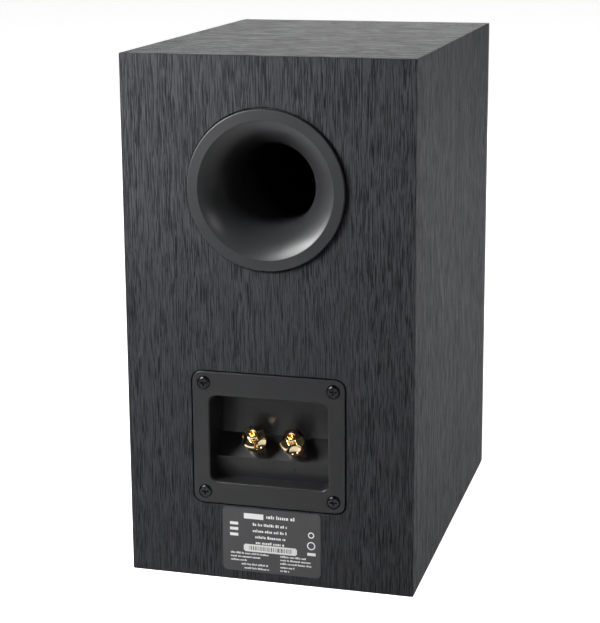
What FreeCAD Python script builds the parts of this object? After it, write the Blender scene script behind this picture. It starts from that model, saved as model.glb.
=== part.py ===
import FreeCAD, Part
import math
import os
import re

import Sketcher
from FreeCAD import Placement, Rotation, Vector

# A two-way, rear-ported bookshelf loudspeaker in a mitred box, built as it comes apart on a bench.
# Row frame, millimetres: +Z up, the drivers face -Y, the port and the terminals face +Y.
# The origin is under the middle of the whole object, on the surface that it stands on.
# Each driver, the port and the terminal cup are drawn in a local frame whose origin is the middle
# of its outermost face and whose +Y runs into the cabinet, so every depth below is positive.

DIMENSIONS = (
    # cabinet
    ("cab_width", 180, "outside, left to right"),
    ("cab_height", 325, "outside, bottom to top"),
    ("cab_depth", 255, "front baffle's face to rear panel's face"),
    ("wall", 15, "thickness of the five mitred panels"),
    ("edge_round", 0.8, "radius of the cabinet's outer edges"),
    ("baffle_thick", 18, "front baffle"),
    ("baffle_lip", 6, "part of the baffle that overlays the panels' front ends"),
    ("baffle_round", 1.2, "radius of the baffle's front edges"),
    ("glue_gap", 0.2, "gap round pieces that are glued into the box"),
    ("brace_bottom", 186, "height of the brace's lower face"),
    ("brace_thick", 12, "window brace"),
    ("brace_rim", 26, "width of the brace's frame round its window"),
    ("brace_corner", 12, "radius of the window's corners"),
    # fasteners
    ("screw_r", 1.9, "wood screw's shank radius"),
    ("pilot_gap", 0.1, "radial gap of a shank in its hole"),
    ("screw_head_r", 4.0, "wood screw's pan head radius"),
    ("screw_head_h", 2.2, "wood screw's pan head height"),
    ("head_gap", 0.35, "radial gap round a sunk screw head"),
    ("cross_half", 2.2, "half the span of the cross recess"),
    ("cross_wide", 0.9, "width of one slot of the cross recess"),
    ("cross_deep", 1.5, "depth of the cross recess"),
    ("screw_tip", 3.0, "length of a wood screw's point"),
    # bass reflex port, at the rear
    ("port_z", 246, "height of the port's axis"),
    ("port_proud", 2.5, "how far its flange stands behind the rear panel"),
    ("port_flange_r", 48.5, "flange radius"),
    ("port_mouth_r", 41.8, "radius where the flare meets the flange's face"),
    ("port_throat_r", 25, "tube's inner radius"),
    ("port_flare_deep", 27, "depth of the outer flare"),
    ("port_skin", 2.5, "wall of the tube and the flares"),
    ("port_length", 132, "flange face to the inner flare's lip"),
    ("port_inner_deep", 16, "depth of the inner flare"),
    ("port_inner_r", 36, "inner flare's lip radius"),
    ("port_socket", 12, "overlap of a flare's collar on the tube"),
    ("port_round", 0.8, "radius of the flange's outer edge"),
    ("lip_round", 0.5, "radius of the edge between flange face and flare"),
    ("slip_fit", 0.1, "radial gap of the tube in its collars"),
    ("gasket", 0.6, "foam gasket under the port and the cup"),
    ("gasket_inset", 0.7, "gasket edge inside the flange edge"),
    ("hole_gap", 0.5, "gap of a housing in its cut-out"),
    ("relief_wide", 0.9, "shadow groove outside the port's flange"),
    ("relief_deep", 1.2, "depth of that groove"),
    ("cup_gap", 0.8, "gap of the cup's flange in its rebate"),
    # terminal cup, at the rear
    ("cup_z", 91, "height of the cup's middle"),
    ("cup_width", 96, "flange width"),
    ("cup_height", 84, "flange height"),
    ("cup_corner", 6, "flange corner radius"),
    ("cup_flange", 3, "flange thickness"),
    ("cup_proud", 0.5, "how far the flange stands behind the rear panel"),
    ("cup_round", 0.7, "radius of the flange's outer edge"),
    ("mouth_width", 74.6, "width of the recess"),
    ("mouth_height", 54.8, "height of the recess"),
    ("mouth_drop", 0.6, "recess middle below the flange middle"),
    ("mouth_corner", 4.5, "corner radius of the recess"),
    ("mouth_round", 1.1, "radius of the recess's front edge"),
    ("weld", 0.15, "overlap that joins the sill to the recess's walls"),
    ("cup_skin", 2.2, "wall of the recess"),
    ("cup_deep", 25, "flange face to the recess's back wall"),
    ("sill_deep", 13, "flange face to the marked sill below the posts"),
    ("sill_height", 12.4, "height of the sill above the recess's floor"),
    ("seat_thick", 3, "wall that the posts are bolted through"),
    ("cup_screw_x", 40.7, "cup screws from the middle, across"),
    ("cup_screw_z", 34.8, "cup screws from the middle, up and down"),
    ("cup_sink", 1.5, "depth of the sink round a cup screw's head"),
    ("cup_screw_long", 16, "cup screw under its head"),
    ("mark_long", 4.6, "length of a bar of the polarity marks"),
    ("mark_wide", 0.7, "width of a bar of the polarity marks"),
    ("mark_high", 0.35, "how far the polarity marks stand out"),
    ("mark_drop", 6.0, "polarity marks below the sill's top edge"),
    # binding posts
    ("post_pitch", 24.5, "distance between the two posts"),
    ("post_tilt", 45, "degrees that the posts point above the horizontal"),
    ("stud_r", 3.5, "threaded stud radius"),
    ("stud_tail_r", 2.9, "stud radius behind its flange"),
    ("stud_tail", 10, "length of stud behind its flange"),
    ("post_flange_r", 6.0, "stud's flange radius"),
    ("post_flange", 3.5, "stud's flange thickness"),
    ("ring_r", 6.4, "coloured clamp ring's radius"),
    ("ring_thick", 4.3, "coloured clamp ring's thickness"),
    ("knob_r", 8.0, "knob radius over its lobes"),
    ("knob_long", 5.8, "knob length"),
    ("knob_chamfer", 0.8, "bevel of the knob's outer end"),
    ("knob_fit", 0.05, "radial gap of knob and ring on the stud"),
    ("knob_mouth", 0.5, "bevel of the knob's hole"),
    ("flute_r", 5.9, "radius of a dished flute"),
    ("flute_at", 10.05, "flute's middle from the knob's axis"),
    ("flute_up", 6.2, "flute's middle above the knob's foot"),
    ("stud_proud", 3.5, "stud's end past the knob's end"),
    ("socket_r", 2.05, "banana socket radius"),
    ("socket_deep", 10, "banana socket depth"),
    ("wire_hole_r", 1.25, "radius of the stud's cross hole for bare wire"),
    ("wire_hole_up", 1.5, "cross hole's middle above the flange"),
    ("stud_bevel", 0.4, "bevels of the stud's end"),
    ("nut_across", 10, "hex nut across flats"),
    ("nut_thick", 3.2, "hex nut thickness"),
    ("tag_thick", 0.8, "solder tag thickness"),
    ("tag_wide", 8, "solder tag width"),
    ("tag_long", 16, "solder tag length from the stud's axis"),
    # rating label
    ("label_x", 1.2, "label's middle left of the row's, seen from the front"),
    ("label_z", 26.7, "height of the label's middle"),
    ("label_width", 62.4, "label width"),
    ("label_height", 41.4, "label height"),
    ("label_corner", 3, "label corner radius"),
    ("label_thick", 0.2, "label thickness"),
    # woofer
    ("woofer_z", 113, "height of the woofer's axis"),
    ("front_proud", 3, "how far the woofer surround stands before the baffle"),
    ("woofer_r", 79, "flange radius"),
    ("trim_thick", 2, "trim ring thickness"),
    ("trim_inner_r", 66.2, "trim ring's inner radius"),
    ("basket_sheet", 2.5, "basket flange thickness"),
    ("woofer_gasket", 0.5, "gasket under a driver's flange"),
    ("rebate_gap", 0.4, "gap round a flange in its rebate"),
    ("woofer_cut_r", 68, "radius of the baffle's hole"),
    ("basket_top_r", 66, "basket's outer radius under its flange"),
    ("basket_bottom_r", 46, "basket's outer radius at its floor"),
    ("basket_deep", 44, "depth of the basket's floor"),
    ("basket_window", 30, "width of one basket window"),
    ("basket_windows", 6, "number of basket windows"),
    ("basket_skin", 2, "thickness of the basket's wall and floor"),
    ("bolt_r", 72.6, "woofer screws from the axis"),
    ("woofer_screws", 6, "number of woofer screws"),
    ("woofer_screw_long", 14, "woofer screw under its head"),
    ("surround_in_r", 51.5, "half roll's inner radius"),
    ("surround_out_r", 60.5, "half roll's outer radius"),
    ("surround_lip", 4, "width of the surround's glued lips"),
    ("surround_thick", 0.6, "surround thickness"),
    ("cone_thick", 0.7, "cone thickness"),
    ("cone_deep", 24, "depth of the cone's neck"),
    ("cone_sag", 2.6, "how far the cone curves from straight"),
    ("cap_r", 21, "dust cap radius"),
    ("cap_rise", 8, "height of the dust cap"),
    ("coil_r", 12.7, "voice coil former's inner radius"),
    ("former_thick", 0.3, "former thickness"),
    ("coil_thick", 0.7, "winding thickness"),
    ("coil_long", 12, "winding length"),
    ("coil_gap", 0.6, "radial gap on each side of the coil"),
    ("cone_travel", 5, "cone travel each way"),
    ("spider_deep", 32, "depth of the spider's plane"),
    ("spider_r", 38, "spider's radius"),
    ("spider_thick", 0.5, "spider thickness"),
    ("spider_wave", 1.6, "height of the spider's corrugations"),
    ("spider_ledge", 3, "thickness of the ledge that carries the spider"),
    ("plate_thick", 6, "top plate thickness"),
    ("plate_r", 43, "top plate and back plate radius"),
    ("magnet_r", 45, "magnet's outer radius"),
    ("magnet_hole_r", 24, "magnet's inner radius"),
    ("magnet_thick", 15, "magnet thickness"),
    ("vent_r", 4, "vent through the pole"),
    # tweeter
    ("tweeter_z", 256, "height of the tweeter's axis"),
    ("face_r", 52, "faceplate radius"),
    ("face_thick", 4, "faceplate thickness at its rim"),
    ("face_round", 0.8, "radius of the faceplate's outer edge"),
    ("guide_r", 38, "waveguide mouth radius"),
    ("guide_deep", 9, "waveguide depth"),
    ("guide_throat_r", 17.4, "waveguide throat radius"),
    ("guide_bow", 1.5, "how far the waveguide's wall bows from straight"),
    ("barrel_r", 36, "faceplate's rear barrel radius"),
    ("barrel_deep", 14, "faceplate's total depth"),
    ("face_bolt_r", 45.4, "tweeter screws from the axis"),
    ("face_screws", 4, "number of tweeter screws"),
    ("face_screw_long", 14, "tweeter screw under its head"),
    ("face_sink", 2.2, "sink of a tweeter screw's head"),
    ("dome_r", 12.7, "dome radius"),
    ("dome_rise", 5.2, "dome height"),
    ("dome_thick", 0.35, "dome thickness"),
    ("roll_r", 16.6, "tweeter suspension's outer radius"),
    ("roll_rise", 1.5, "tweeter suspension's height"),
    ("dome_travel", 0.4, "dome travel each way"),
    ("tweeter_coil", 5, "length of the dome's voice coil"),
    ("tweeter_gap", 0.5, "radial gap on each side of the dome's coil"),
    ("tweeter_plate", 4, "tweeter top plate and back plate thickness"),
    ("tweeter_plate_r", 34, "tweeter top plate radius"),
    ("tweeter_magnet_r", 32, "tweeter magnet's outer radius"),
    ("tweeter_magnet_in", 18, "tweeter magnet's inner radius"),
    ("tweeter_magnet", 10, "tweeter magnet thickness"),
    ("chamber_r", 24, "tweeter rear chamber radius"),
    ("chamber_deep", 14, "tweeter rear chamber depth"),
    # crossover
    ("board_width", 116, "crossover board, across"),
    ("board_long", 132, "crossover board, front to back"),
    ("board_thick", 1.6, "crossover board thickness"),
    ("board_y", 22, "crossover board's middle"),
    ("standoff", 8, "height of the board's standoffs"),
    ("standoff_r", 4, "standoff radius"),
    ("board_margin", 7, "board screws from the board's edges"),
    ("board_screw_long", 20, "board screw under its head"),
    ("spool_r", 19, "inductor bobbin's flange radius"),
    ("spool_hub_r", 8, "inductor bobbin's hub radius"),
    ("spool_bore_r", 4, "inductor bobbin's bore radius"),
    ("spool_high", 24, "inductor height"),
    ("spool_flange", 2, "inductor bobbin's flange thickness"),
    ("winding_r", 16.5, "inductor winding radius"),
    ("can_r", 8.5, "capacitor radius"),
    ("can_long", 34, "capacitor length"),
    ("brick_wide", 9.5, "resistor width and height"),
    ("brick_long", 48, "resistor length"),
    # leads and damping
    ("lead_r", 1.1, "radius of an internal lead"),
    ("lead_end_gap", 0.1, "gap of a lead's end from its solder point"),
    ("lead_clear", 1, "least gap between a lead and the damping beside it"),
    ("pad_thick", 18, "damping sheet thickness"),
    ("pad_gap", 0.3, "damping sheet from its neighbours"),
)

doc = FreeCAD.newDocument("bookshelf_speaker")
sheet = doc.addObject("Spreadsheet::Sheet", "Dims")
for row, (alias, size, meaning) in enumerate(DIMENSIONS, 1):
    sheet.set(f"A{row}", alias)
    sheet.set(f"B{row}", str(size))
    sheet.setAlias(f"B{row}", alias)
    sheet.set(f"C{row}", meaning)
doc.recompute()

ALIASES = {alias for alias, _, _ in DIMENSIONS}

# The cabinet's front and rear faces along Y, with the whole object's middle at 0.
ALL_DEPTH = "(cab_depth + front_proud + port_proud)"
FRONT = f"(front_proud - {ALL_DEPTH} / 2)"
REAR = f"({ALL_DEPTH} / 2 - port_proud)"

INWARD_FROM_FRONT = Rotation()
INWARD_FROM_REAR = Rotation(Vector(0, 0, 1), 180)
UP_FROM_Y = Rotation(Vector(1, 0, 0), 90)
Z_TO_Y = Rotation(Vector(1, 0, 0), -90)
Z_TO_X = Rotation(Vector(0, 1, 0), 90)

nodes = []


# ---------------------------------------------------------------- formulas, objects and sketches


def bound(formula):
    """A formula in the sheet's aliases, as FreeCAD reads it."""
    return re.sub(r"[a-z]\w*", lambda m: f"Dims.{m[0]}" if m[0] in ALIASES else m[0], str(formula))


def number(formula):
    """What a formula comes to now."""
    return float(sheet.evalExpression(bound(formula)))


def bind(thing, **formulas):
    """Binds properties of an object to formulas; a double underscore stands for a dot."""
    for name, formula in formulas.items():
        path = name.replace("__", ".")
        if str(formula) in ("0", "0.0"):
            continue
        thing.setExpression(path, bound(formula))


def place(thing, x="0", y="0", z="0", rotation=None):
    """Turns an object, then binds its position."""
    thing.Placement = Placement(Vector(number(x), number(y), number(z)), rotation or Rotation())
    bind(thing, Placement__Base__x=x, Placement__Base__y=y, Placement__Base__z=z)
    return thing


def node(thing, label):
    """Marks an object as a sub-part with that label."""
    thing.Label = label
    nodes.append(thing)
    return thing


def set_point(sketch, index, end, x, y):
    """Dimensions one point of a sketch from its origin."""
    for kind, axis, formula in (("DistanceX", -2, x), ("DistanceY", -1, y)):
        if str(formula) == "0":
            sketch.addConstraint(Sketcher.Constraint("PointOnObject", index, end, axis))
        else:
            made = sketch.addConstraint(Sketcher.Constraint(kind, index, end, number(formula)))
            sketch.setExpression(f"Constraints[{made}]", bound(formula))


def arc_through(first, middle, last):
    """The counterclockwise arc through three points, and whether it runs from first to last."""
    circle = Part.Arc(first, middle, last).toShape().Curve
    centre = circle.Center
    angles = [math.atan2(p.y - centre.y, p.x - centre.x) for p in (first, middle, last)]
    full = 2 * math.pi
    forward = (angles[1] - angles[0]) % full < (angles[2] - angles[0]) % full
    low, high = (angles[0], angles[2]) if forward else (angles[2], angles[0])
    upright = Part.Circle(centre, Vector(0, 0, 1), circle.Radius)
    return Part.ArcOfCircle(upright, low, low + (high - low) % full), forward


def draw(sketch, outline):
    """Closes an outline of (x, y) points, each a formula. A step (mx, my, x, y) is an arc through (mx, my)."""
    corners = [step[-2:] for step in outline]
    closed_by_step = corners[0] == corners[-1]
    steps = list(outline[1:]) if closed_by_step else list(outline[1:]) + [outline[0][-2:]]
    spots = [Vector(number(x), number(y), 0) for x, y in corners]
    joints = []
    for k, step in enumerate(steps):
        start, finish = spots[k], Vector(number(step[-2]), number(step[-1]), 0)
        if len(step) == 2:
            index = sketch.addGeometry(Part.LineSegment(start, finish))
            joints.append((index, 1, 2, None))
        else:
            middle = Vector(number(step[0]), number(step[1]), 0)
            arc, forward = arc_through(start, middle, finish)
            index = sketch.addGeometry(arc)
            joints.append((index, 1 if forward else 2, 2 if forward else 1, step[:2]))
    for k, (index, _, tail, _) in enumerate(joints):
        following = joints[(k + 1) % len(joints)]
        sketch.addConstraint(Sketcher.Constraint("Coincident", index, tail, following[0], following[1]))
    for k, (index, head, _, waypoint) in enumerate(joints):
        set_point(sketch, index, head, *corners[k])
        if waypoint:
            middle = Vector(number(waypoint[0]), number(waypoint[1]), 0)
            guide = sketch.addGeometry(Part.Point(middle), True)
            set_point(sketch, guide, 1, *waypoint)
            sketch.addConstraint(Sketcher.Constraint("PointOnObject", guide, 1, index))
    return sketch


def circle_at(sketch, radius, x="0", y="0"):
    """Adds a circle to a sketch."""
    made = Part.Circle(Vector(number(x), number(y), 0), Vector(0, 0, 1), number(radius))
    index = sketch.addGeometry(made)
    set_point(sketch, index, 3, x, y)
    size = sketch.addConstraint(Sketcher.Constraint("Radius", index, number(radius)))
    sketch.setExpression(f"Constraints[{size}]", bound(radius))
    return sketch


def new_body(name):
    return doc.addObject("PartDesign::Body", name)


def new_sketch(body, role, offset="0"):
    """An empty sketch on one of the body's own origin planes, moved along that plane's normal."""
    plane = next(f for f in body.Origin.OriginFeatures if f.Role == role)
    sketch = body.newObject("Sketcher::SketchObject", f"{body.Name}_sketch")
    sketch.AttachmentSupport = [(plane, "")]
    sketch.MapMode = "FlatFace"
    bind(sketch, AttachmentOffset__Base__z=offset)
    return sketch


def round_rectangle(width, height, corner, x="0", y="0"):
    """The outline of a rectangle about (x, y) with round corners."""
    out = []
    cut = f"{corner} * (1 - cos(45))"
    for right, top in ((1, 0), (1, 1), (0, 1), (0, 0)):
        sx, sy = ("+", "-") if right else ("-", "+"), ("+", "-") if top else ("-", "+")
        edge_x, edge_y = f"{x} {sx[0]} {width} / 2", f"{y} {sy[0]} {height} / 2"
        near_x, near_y = f"{edge_x} {sx[1]} {corner}", f"{edge_y} {sy[1]} {corner}"
        ends = [(near_x, edge_y), (edge_x, near_y)]
        if right == top:
            ends.reverse()
        middle = (f"{edge_x} {sx[1]} {cut}", f"{edge_y} {sy[1]} {cut}")
        out += [ends[0], middle + ends[1]]
    return out


def revolve(body, outline, groove=False):
    """Turns an outline of (radius, depth) about the body's Y axis."""
    sketch = draw(new_sketch(body, "XY_Plane"), outline)
    kind = "Groove" if groove else "Revolution"
    turned = body.newObject(f"PartDesign::{kind}", f"{body.Name}_{kind.lower()}")
    turned.Profile = sketch
    turned.ReferenceAxis = (sketch, ["V_Axis"])
    turned.Angle = 360
    return turned


def turned_body(name, outline):
    body = new_body(name)
    revolve(body, outline)
    return body


def extrude(body, sketch, length, cut=False, reverse=True, symmetric=False):
    """Pads or pockets a sketch. Reversed on an XZ sketch means along +Y."""
    kind = "Pocket" if cut else "Pad"
    made = body.newObject(f"PartDesign::{kind}", f"{body.Name}_{kind.lower()}")
    made.Profile = sketch
    made.SideType = "Symmetric" if symmetric else "One side"
    made.Reversed = reverse != cut
    bind(made, Length=length)
    return made


def round_edges(body, radius, chosen, name="round"):
    """Fillets the edges of the body's last feature that chosen() accepts."""
    doc.recompute()
    base = body.Tip
    picked = [f"Edge{k}" for k, edge in enumerate(base.Shape.Edges, 1) if chosen(edge)]
    made = body.newObject("PartDesign::Fillet", f"{body.Name}_{name}")
    made.Base = (base, picked)
    bind(made, Radius=radius)
    doc.recompute()
    return made


def box(name, size, corner, rotation=None):
    """A Part box with formulas for its size and its low corner."""
    made = doc.addObject("Part::Box", name)
    bind(made, Length=size[0], Width=size[1], Height=size[2])
    return place(made, *corner, rotation)


def cylinder(name, radius, length, at, rotation):
    """A Part cylinder from a point, along the rotation's Z."""
    made = doc.addObject("Part::Cylinder", name)
    bind(made, Radius=radius, Height=length)
    return place(made, *at, rotation)


def part_fillet(name, base, radius, chosen):
    """A Part fillet on the edges that chosen() accepts."""
    doc.recompute()
    size = number(radius)
    made = doc.addObject("Part::Fillet", name)
    made.Base = base
    made.Edges = [(k, size, size) for k, edge in enumerate(base.Shape.Edges, 1) if chosen(edge)]
    return made


def fuse(name, pieces):
    made = doc.addObject("Part::MultiFuse", name)
    made.Shapes = pieces
    return made


def cut(name, base, tools):
    made = doc.addObject("Part::Cut", name)
    made.Base = base
    made.Tool = tools[0] if len(tools) == 1 else fuse(f"{name}_tools", tools)
    return made


def common(name, first, second):
    made = doc.addObject("Part::Common", name)
    made.Base = first
    made.Tool = second
    return made


def group(name, label, master, spots):
    """One node of equal solids: links to a master, each with its own (x, y, z, rotation)."""
    links = []
    for k, (x, y, z, rotation) in enumerate(spots, 1):
        link = doc.addObject("App::Link", f"{name}_{k}")
        link.LinkedObject = master
        links.append(place(link, x, y, z, rotation))
    made = doc.addObject("Part::Compound", name)
    made.Links = links
    return node(made, label)


def near(first, second, slack=1e-4):
    return abs(first - second) < slack


def runs_along(edge, axis):
    """Whether a straight edge runs along an axis."""
    if edge.Curve.TypeId != "Part::GeomLine":
        return False
    return abs(edge.Curve.Direction.dot(axis)) > 0.999


def lies_at_y(edge, y):
    """Whether a whole edge lies in the plane at that local Y."""
    return near(edge.BoundBox.YMin, y) and near(edge.BoundBox.YMax, y)


def ring_spots(count, radius, middle_z, depth, rotation, first_degrees):
    """Places evenly spaced on a circle about a driver's axis, as formulas."""
    spots = []
    for k in range(count):
        angle = f"({first_degrees} + {k} * 360 / {count})"
        spots.append((f"{radius} * cos({angle})", depth, f"{middle_z} + {radius} * sin({angle})", rotation))
    return spots


# ---------------------------------------------------------------- fasteners


def wood_screw(name, length):
    """A pan-head wood screw with a cross recess: its head's seat is at Y 0, and its point along +Y."""
    body = new_body(name)
    rim = "screw_head_h * 0.45"
    revolve(
        body,
        [
            ("0", "-screw_head_h"),
            ("screw_head_r * 0.55", "-screw_head_h"),
            ("screw_head_r * 0.87", "-screw_head_h * 0.84", "screw_head_r", f"-{rim}"),
            ("screw_head_r", "0"),
            ("screw_r", "0"),
            ("screw_r", f"{length} - screw_tip"),
            ("0", length),
        ],
    )
    recess = new_sketch(body, "XZ_Plane", "screw_head_h")
    arm, half = "cross_half", "cross_wide / 2"
    draw(
        recess,
        [
            (f"-{half}", f"-{arm}"), (half, f"-{arm}"), (half, f"-{half}"), (arm, f"-{half}"),
            (arm, half), (half, half), (half, arm), (f"-{half}", arm),
            (f"-{half}", half), (f"-{arm}", half), (f"-{arm}", f"-{half}"), (f"-{half}", f"-{half}"),
        ],
    )
    extrude(body, recess, "cross_deep", cut=True)
    return body


# ---------------------------------------------------------------- cabinet


def mitred_panel(name, rotation, inner, outer, low, high, holes=()):
    """A panel with mitred ends: a wedge from its inner face to its outer face, cut to the rounded box.

    inner and outer are local Y; low and high give (X, X2, Z, Z2) at the wedge's two faces.
    """
    wedge = doc.addObject("Part::Wedge", f"{name}_wedge")
    bind(wedge, Ymin=inner, Ymax=outer)
    bind(wedge, Xmin=low[0], X2min=low[1], Zmin=low[2], Z2min=low[3])
    bind(wedge, Xmax=high[0], X2max=high[1], Zmax=high[2], Z2max=high[3])
    for prop, formula in zip(("Ymin", "Ymax", "Zmin", "Z2min"), (inner, outer, low[2], low[3])):
        if formula == "0":
            setattr(wedge, prop, 0)
    wedge.Placement = Placement(Vector(), rotation)
    panel = common(f"{name}_blank", envelope, wedge)
    return node(cut(name, panel, list(holes)) if holes else panel, name)


def outer_envelope():
    """The rounded block that the five panels fill, behind the baffle."""
    start = f"{FRONT} + baffle_lip"
    size = ("cab_width", "cab_depth - baffle_lip", "cab_height")
    block = box("envelope_block", size, ("-cab_width / 2", start, "0"))
    front = number(start)
    return part_fillet("envelope", block, "edge_round", lambda e: not lies_at_y(e, front))


def cup_screw_spots(depth, rotation=INWARD_FROM_REAR):
    return [
        (f"{sx} * cup_screw_x", depth, f"cup_z + {sz} * cup_screw_z", rotation)
        for sx in (1, -1)
        for sz in (1, -1)
    ]


def rear_cutouts():
    """What the rear panel loses: port hole and groove, cup cut-out, the cup's rebate and its pilot holes."""
    through = f"{REAR} - wall - 1"
    port_hole = cylinder(
        "port_hole", "port_mouth_r + port_skin + hole_gap", "wall + 2", ("0", through, "port_z"), Z_TO_Y
    )
    groove_at = ("0", f"{REAR} - relief_deep", "port_z")
    groove = cut(
        "port_relief",
        cylinder("relief_outside", "port_flange_r + relief_wide", "relief_deep + 1", groove_at, Z_TO_Y),
        [cylinder("relief_inside", "port_flange_r - gasket_inset", "relief_deep + 1", groove_at, Z_TO_Y)],
    )
    tools = [port_hole, groove]
    seat_deep = "(cup_flange + gasket - cup_proud)"
    round_cup = "(cup_skin + hole_gap)"
    openings = (
        ("cup_cutout", f"mouth_width + 2 * {round_cup}", f"mouth_height + 2 * {round_cup}",
         "wall + 2", "cup_z - mouth_drop", through, f"mouth_corner + {round_cup}"),
        ("cup_rebate", "cup_width + 2 * cup_gap", "cup_height + 2 * cup_gap",
         f"{seat_deep} + 1", "cup_z", f"{REAR} - {seat_deep}", "cup_corner + cup_gap"),
    )
    for name, width, height, deep, middle, start, corner in openings:
        corner_at = (f"-({width}) / 2", start, f"{middle} - ({height}) / 2")
        block = box(f"{name}_block", (width, deep, height), corner_at)
        tools.append(part_fillet(name, block, corner, lambda e: runs_along(e, Vector(0, 1, 0))))
    for k, (x, y, z, _) in enumerate(cup_screw_spots(through), 1):
        tools.append(cylinder(f"cup_pilot_{k}", "screw_r + pilot_gap", "wall + 2", (x, y, z), Z_TO_Y))
    return tools


def panels():
    half, inner_half = "cab_width / 2", "(cab_width / 2 - wall)"
    back, inner_back = REAR, f"({REAR} - wall)"
    start = f"({FRONT} + baffle_lip)"
    top, inner_top = "cab_height", "(cab_height - wall)"
    mitred_panel(
        "rear_panel", Rotation(), inner_back, back,
        (f"-{inner_half}", f"-{half}", "wall", "0"), (inner_half, half, inner_top, top), rear_cutouts(),
    )
    mitred_panel(
        "right_panel", Rotation(Vector(0, 0, 1), -90), inner_half, half,
        (f"-{inner_back}", f"-{back}", "wall", "0"), (f"-{start}", f"-{start}", inner_top, top),
    )
    mitred_panel(
        "left_panel", Rotation(Vector(0, 0, 1), 90), inner_half, half,
        (start, start, "wall", "0"), (inner_back, back, inner_top, top),
    )
    mitred_panel(
        "top_panel", UP_FROM_Y, inner_top, top,
        (f"-{inner_half}", f"-{half}", f"-{inner_back}", f"-{back}"),
        (inner_half, half, f"-{start}", f"-{start}"),
    )
    pilot_foot = "(wall + standoff + board_thick - board_screw_long - glue_gap)"
    pilots = [
        cylinder(
            f"board_pilot_{k}", "screw_r + pilot_gap", f"wall + 1 - {pilot_foot}", (x, y, pilot_foot), Rotation()
        )
        for k, (x, y, _, _) in enumerate(corner_spots("0", None), 1)
    ]
    mitred_panel(
        "bottom_panel", Rotation(Vector(1, 0, 0), -90), "-wall", "0",
        (f"-{inner_half}", f"-{half}", start, start), (inner_half, half, inner_back, back), pilots,
    )


def front_baffle():
    """The baffle: a lip over the panels' ends and a plug inside them, with the drivers' rebates and holes."""
    lip_block = box(
        "baffle_lip_block", ("cab_width", "baffle_lip", "cab_height"), ("-cab_width / 2", FRONT, "0")
    )
    rear = number(f"{FRONT} + baffle_lip")
    lip = part_fillet("baffle_lip_round", lip_block, "baffle_round", lambda e: not lies_at_y(e, rear))
    inset = "(wall + glue_gap)"
    plug = box(
        "baffle_plug",
        (f"cab_width - 2 * {inset}", "baffle_thick - baffle_lip", f"cab_height - 2 * {inset}"),
        (f"{inset} - cab_width / 2", f"{FRONT} + baffle_lip", inset),
    )
    woofer_rebate = "trim_thick + basket_sheet + woofer_gasket"
    tweeter_rebate = "face_thick + woofer_gasket"
    before = f"{FRONT} - 1"
    cuts = (
        ("woofer_rebate", "woofer_r + rebate_gap", woofer_rebate, "woofer_z"),
        ("woofer_hole", "woofer_cut_r", "baffle_thick + 1", "woofer_z"),
        ("tweeter_rebate", "face_r + rebate_gap", tweeter_rebate, "tweeter_z"),
        ("tweeter_hole", "barrel_r + hole_gap", "baffle_thick + 1", "tweeter_z"),
    )
    tools = [
        cylinder(name, radius, f"1 + {deep}", ("0", before, z), Z_TO_Y) for name, radius, deep, z in cuts
    ]
    rings = (
        ("woofer_pilot", int(number("woofer_screws")), "bolt_r", "woofer_z", "30"),
        ("tweeter_pilot", int(number("face_screws")), "face_bolt_r", "tweeter_z", "45"),
    )
    for name, count, radius, middle, first in rings:
        for k, (x, y, z, _) in enumerate(ring_spots(count, radius, middle, before, None, first), 1):
            pilot = cylinder(f"{name}_{k}", "screw_r + pilot_gap", "baffle_thick + 1", (x, y, z), Z_TO_Y)
            tools.append(pilot)
    node(cut("front_baffle", fuse("baffle_blank", [lip, plug]), tools), "front_baffle")


def window_brace():
    """A framed shelf between the two drivers that ties the walls, the baffle and the rear panel together."""
    width = "(cab_width - 2 * wall)"
    long = "(cab_depth - baffle_thick - wall)"
    plate = box(
        "brace_plate", (width, long, "brace_thick"),
        ("wall - cab_width / 2", f"{FRONT} + baffle_thick", "brace_bottom"),
    )
    window = box(
        "brace_window_block",
        (f"{width} - 2 * brace_rim", f"{long} - 2 * brace_rim", "brace_thick + 2"),
        ("wall - cab_width / 2 + brace_rim", f"{FRONT} + baffle_thick + brace_rim", "brace_bottom - 1"),
    )
    rounded = part_fillet("brace_window", window, "brace_corner", lambda e: runs_along(e, Vector(0, 0, 1)))
    node(cut("window_brace", plate, [rounded]), "window_brace")


# ---------------------------------------------------------------- port


def flare_middle(throat, mouth, deep, throat_depth, towards):
    """The middle of a flare's arc, which leaves the throat along the axis and reaches the mouth."""
    rise = f"({mouth} - {throat})"
    radius = f"(({rise} ^ 2 + ({deep}) ^ 2) / (2 * {rise}))"
    half = f"(asin(({deep}) / {radius}) / 2)"
    return (
        f"{throat} + {radius} * (1 - cos({half}))",
        f"{throat_depth} {towards} {radius} * sin({half})",
    )


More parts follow.
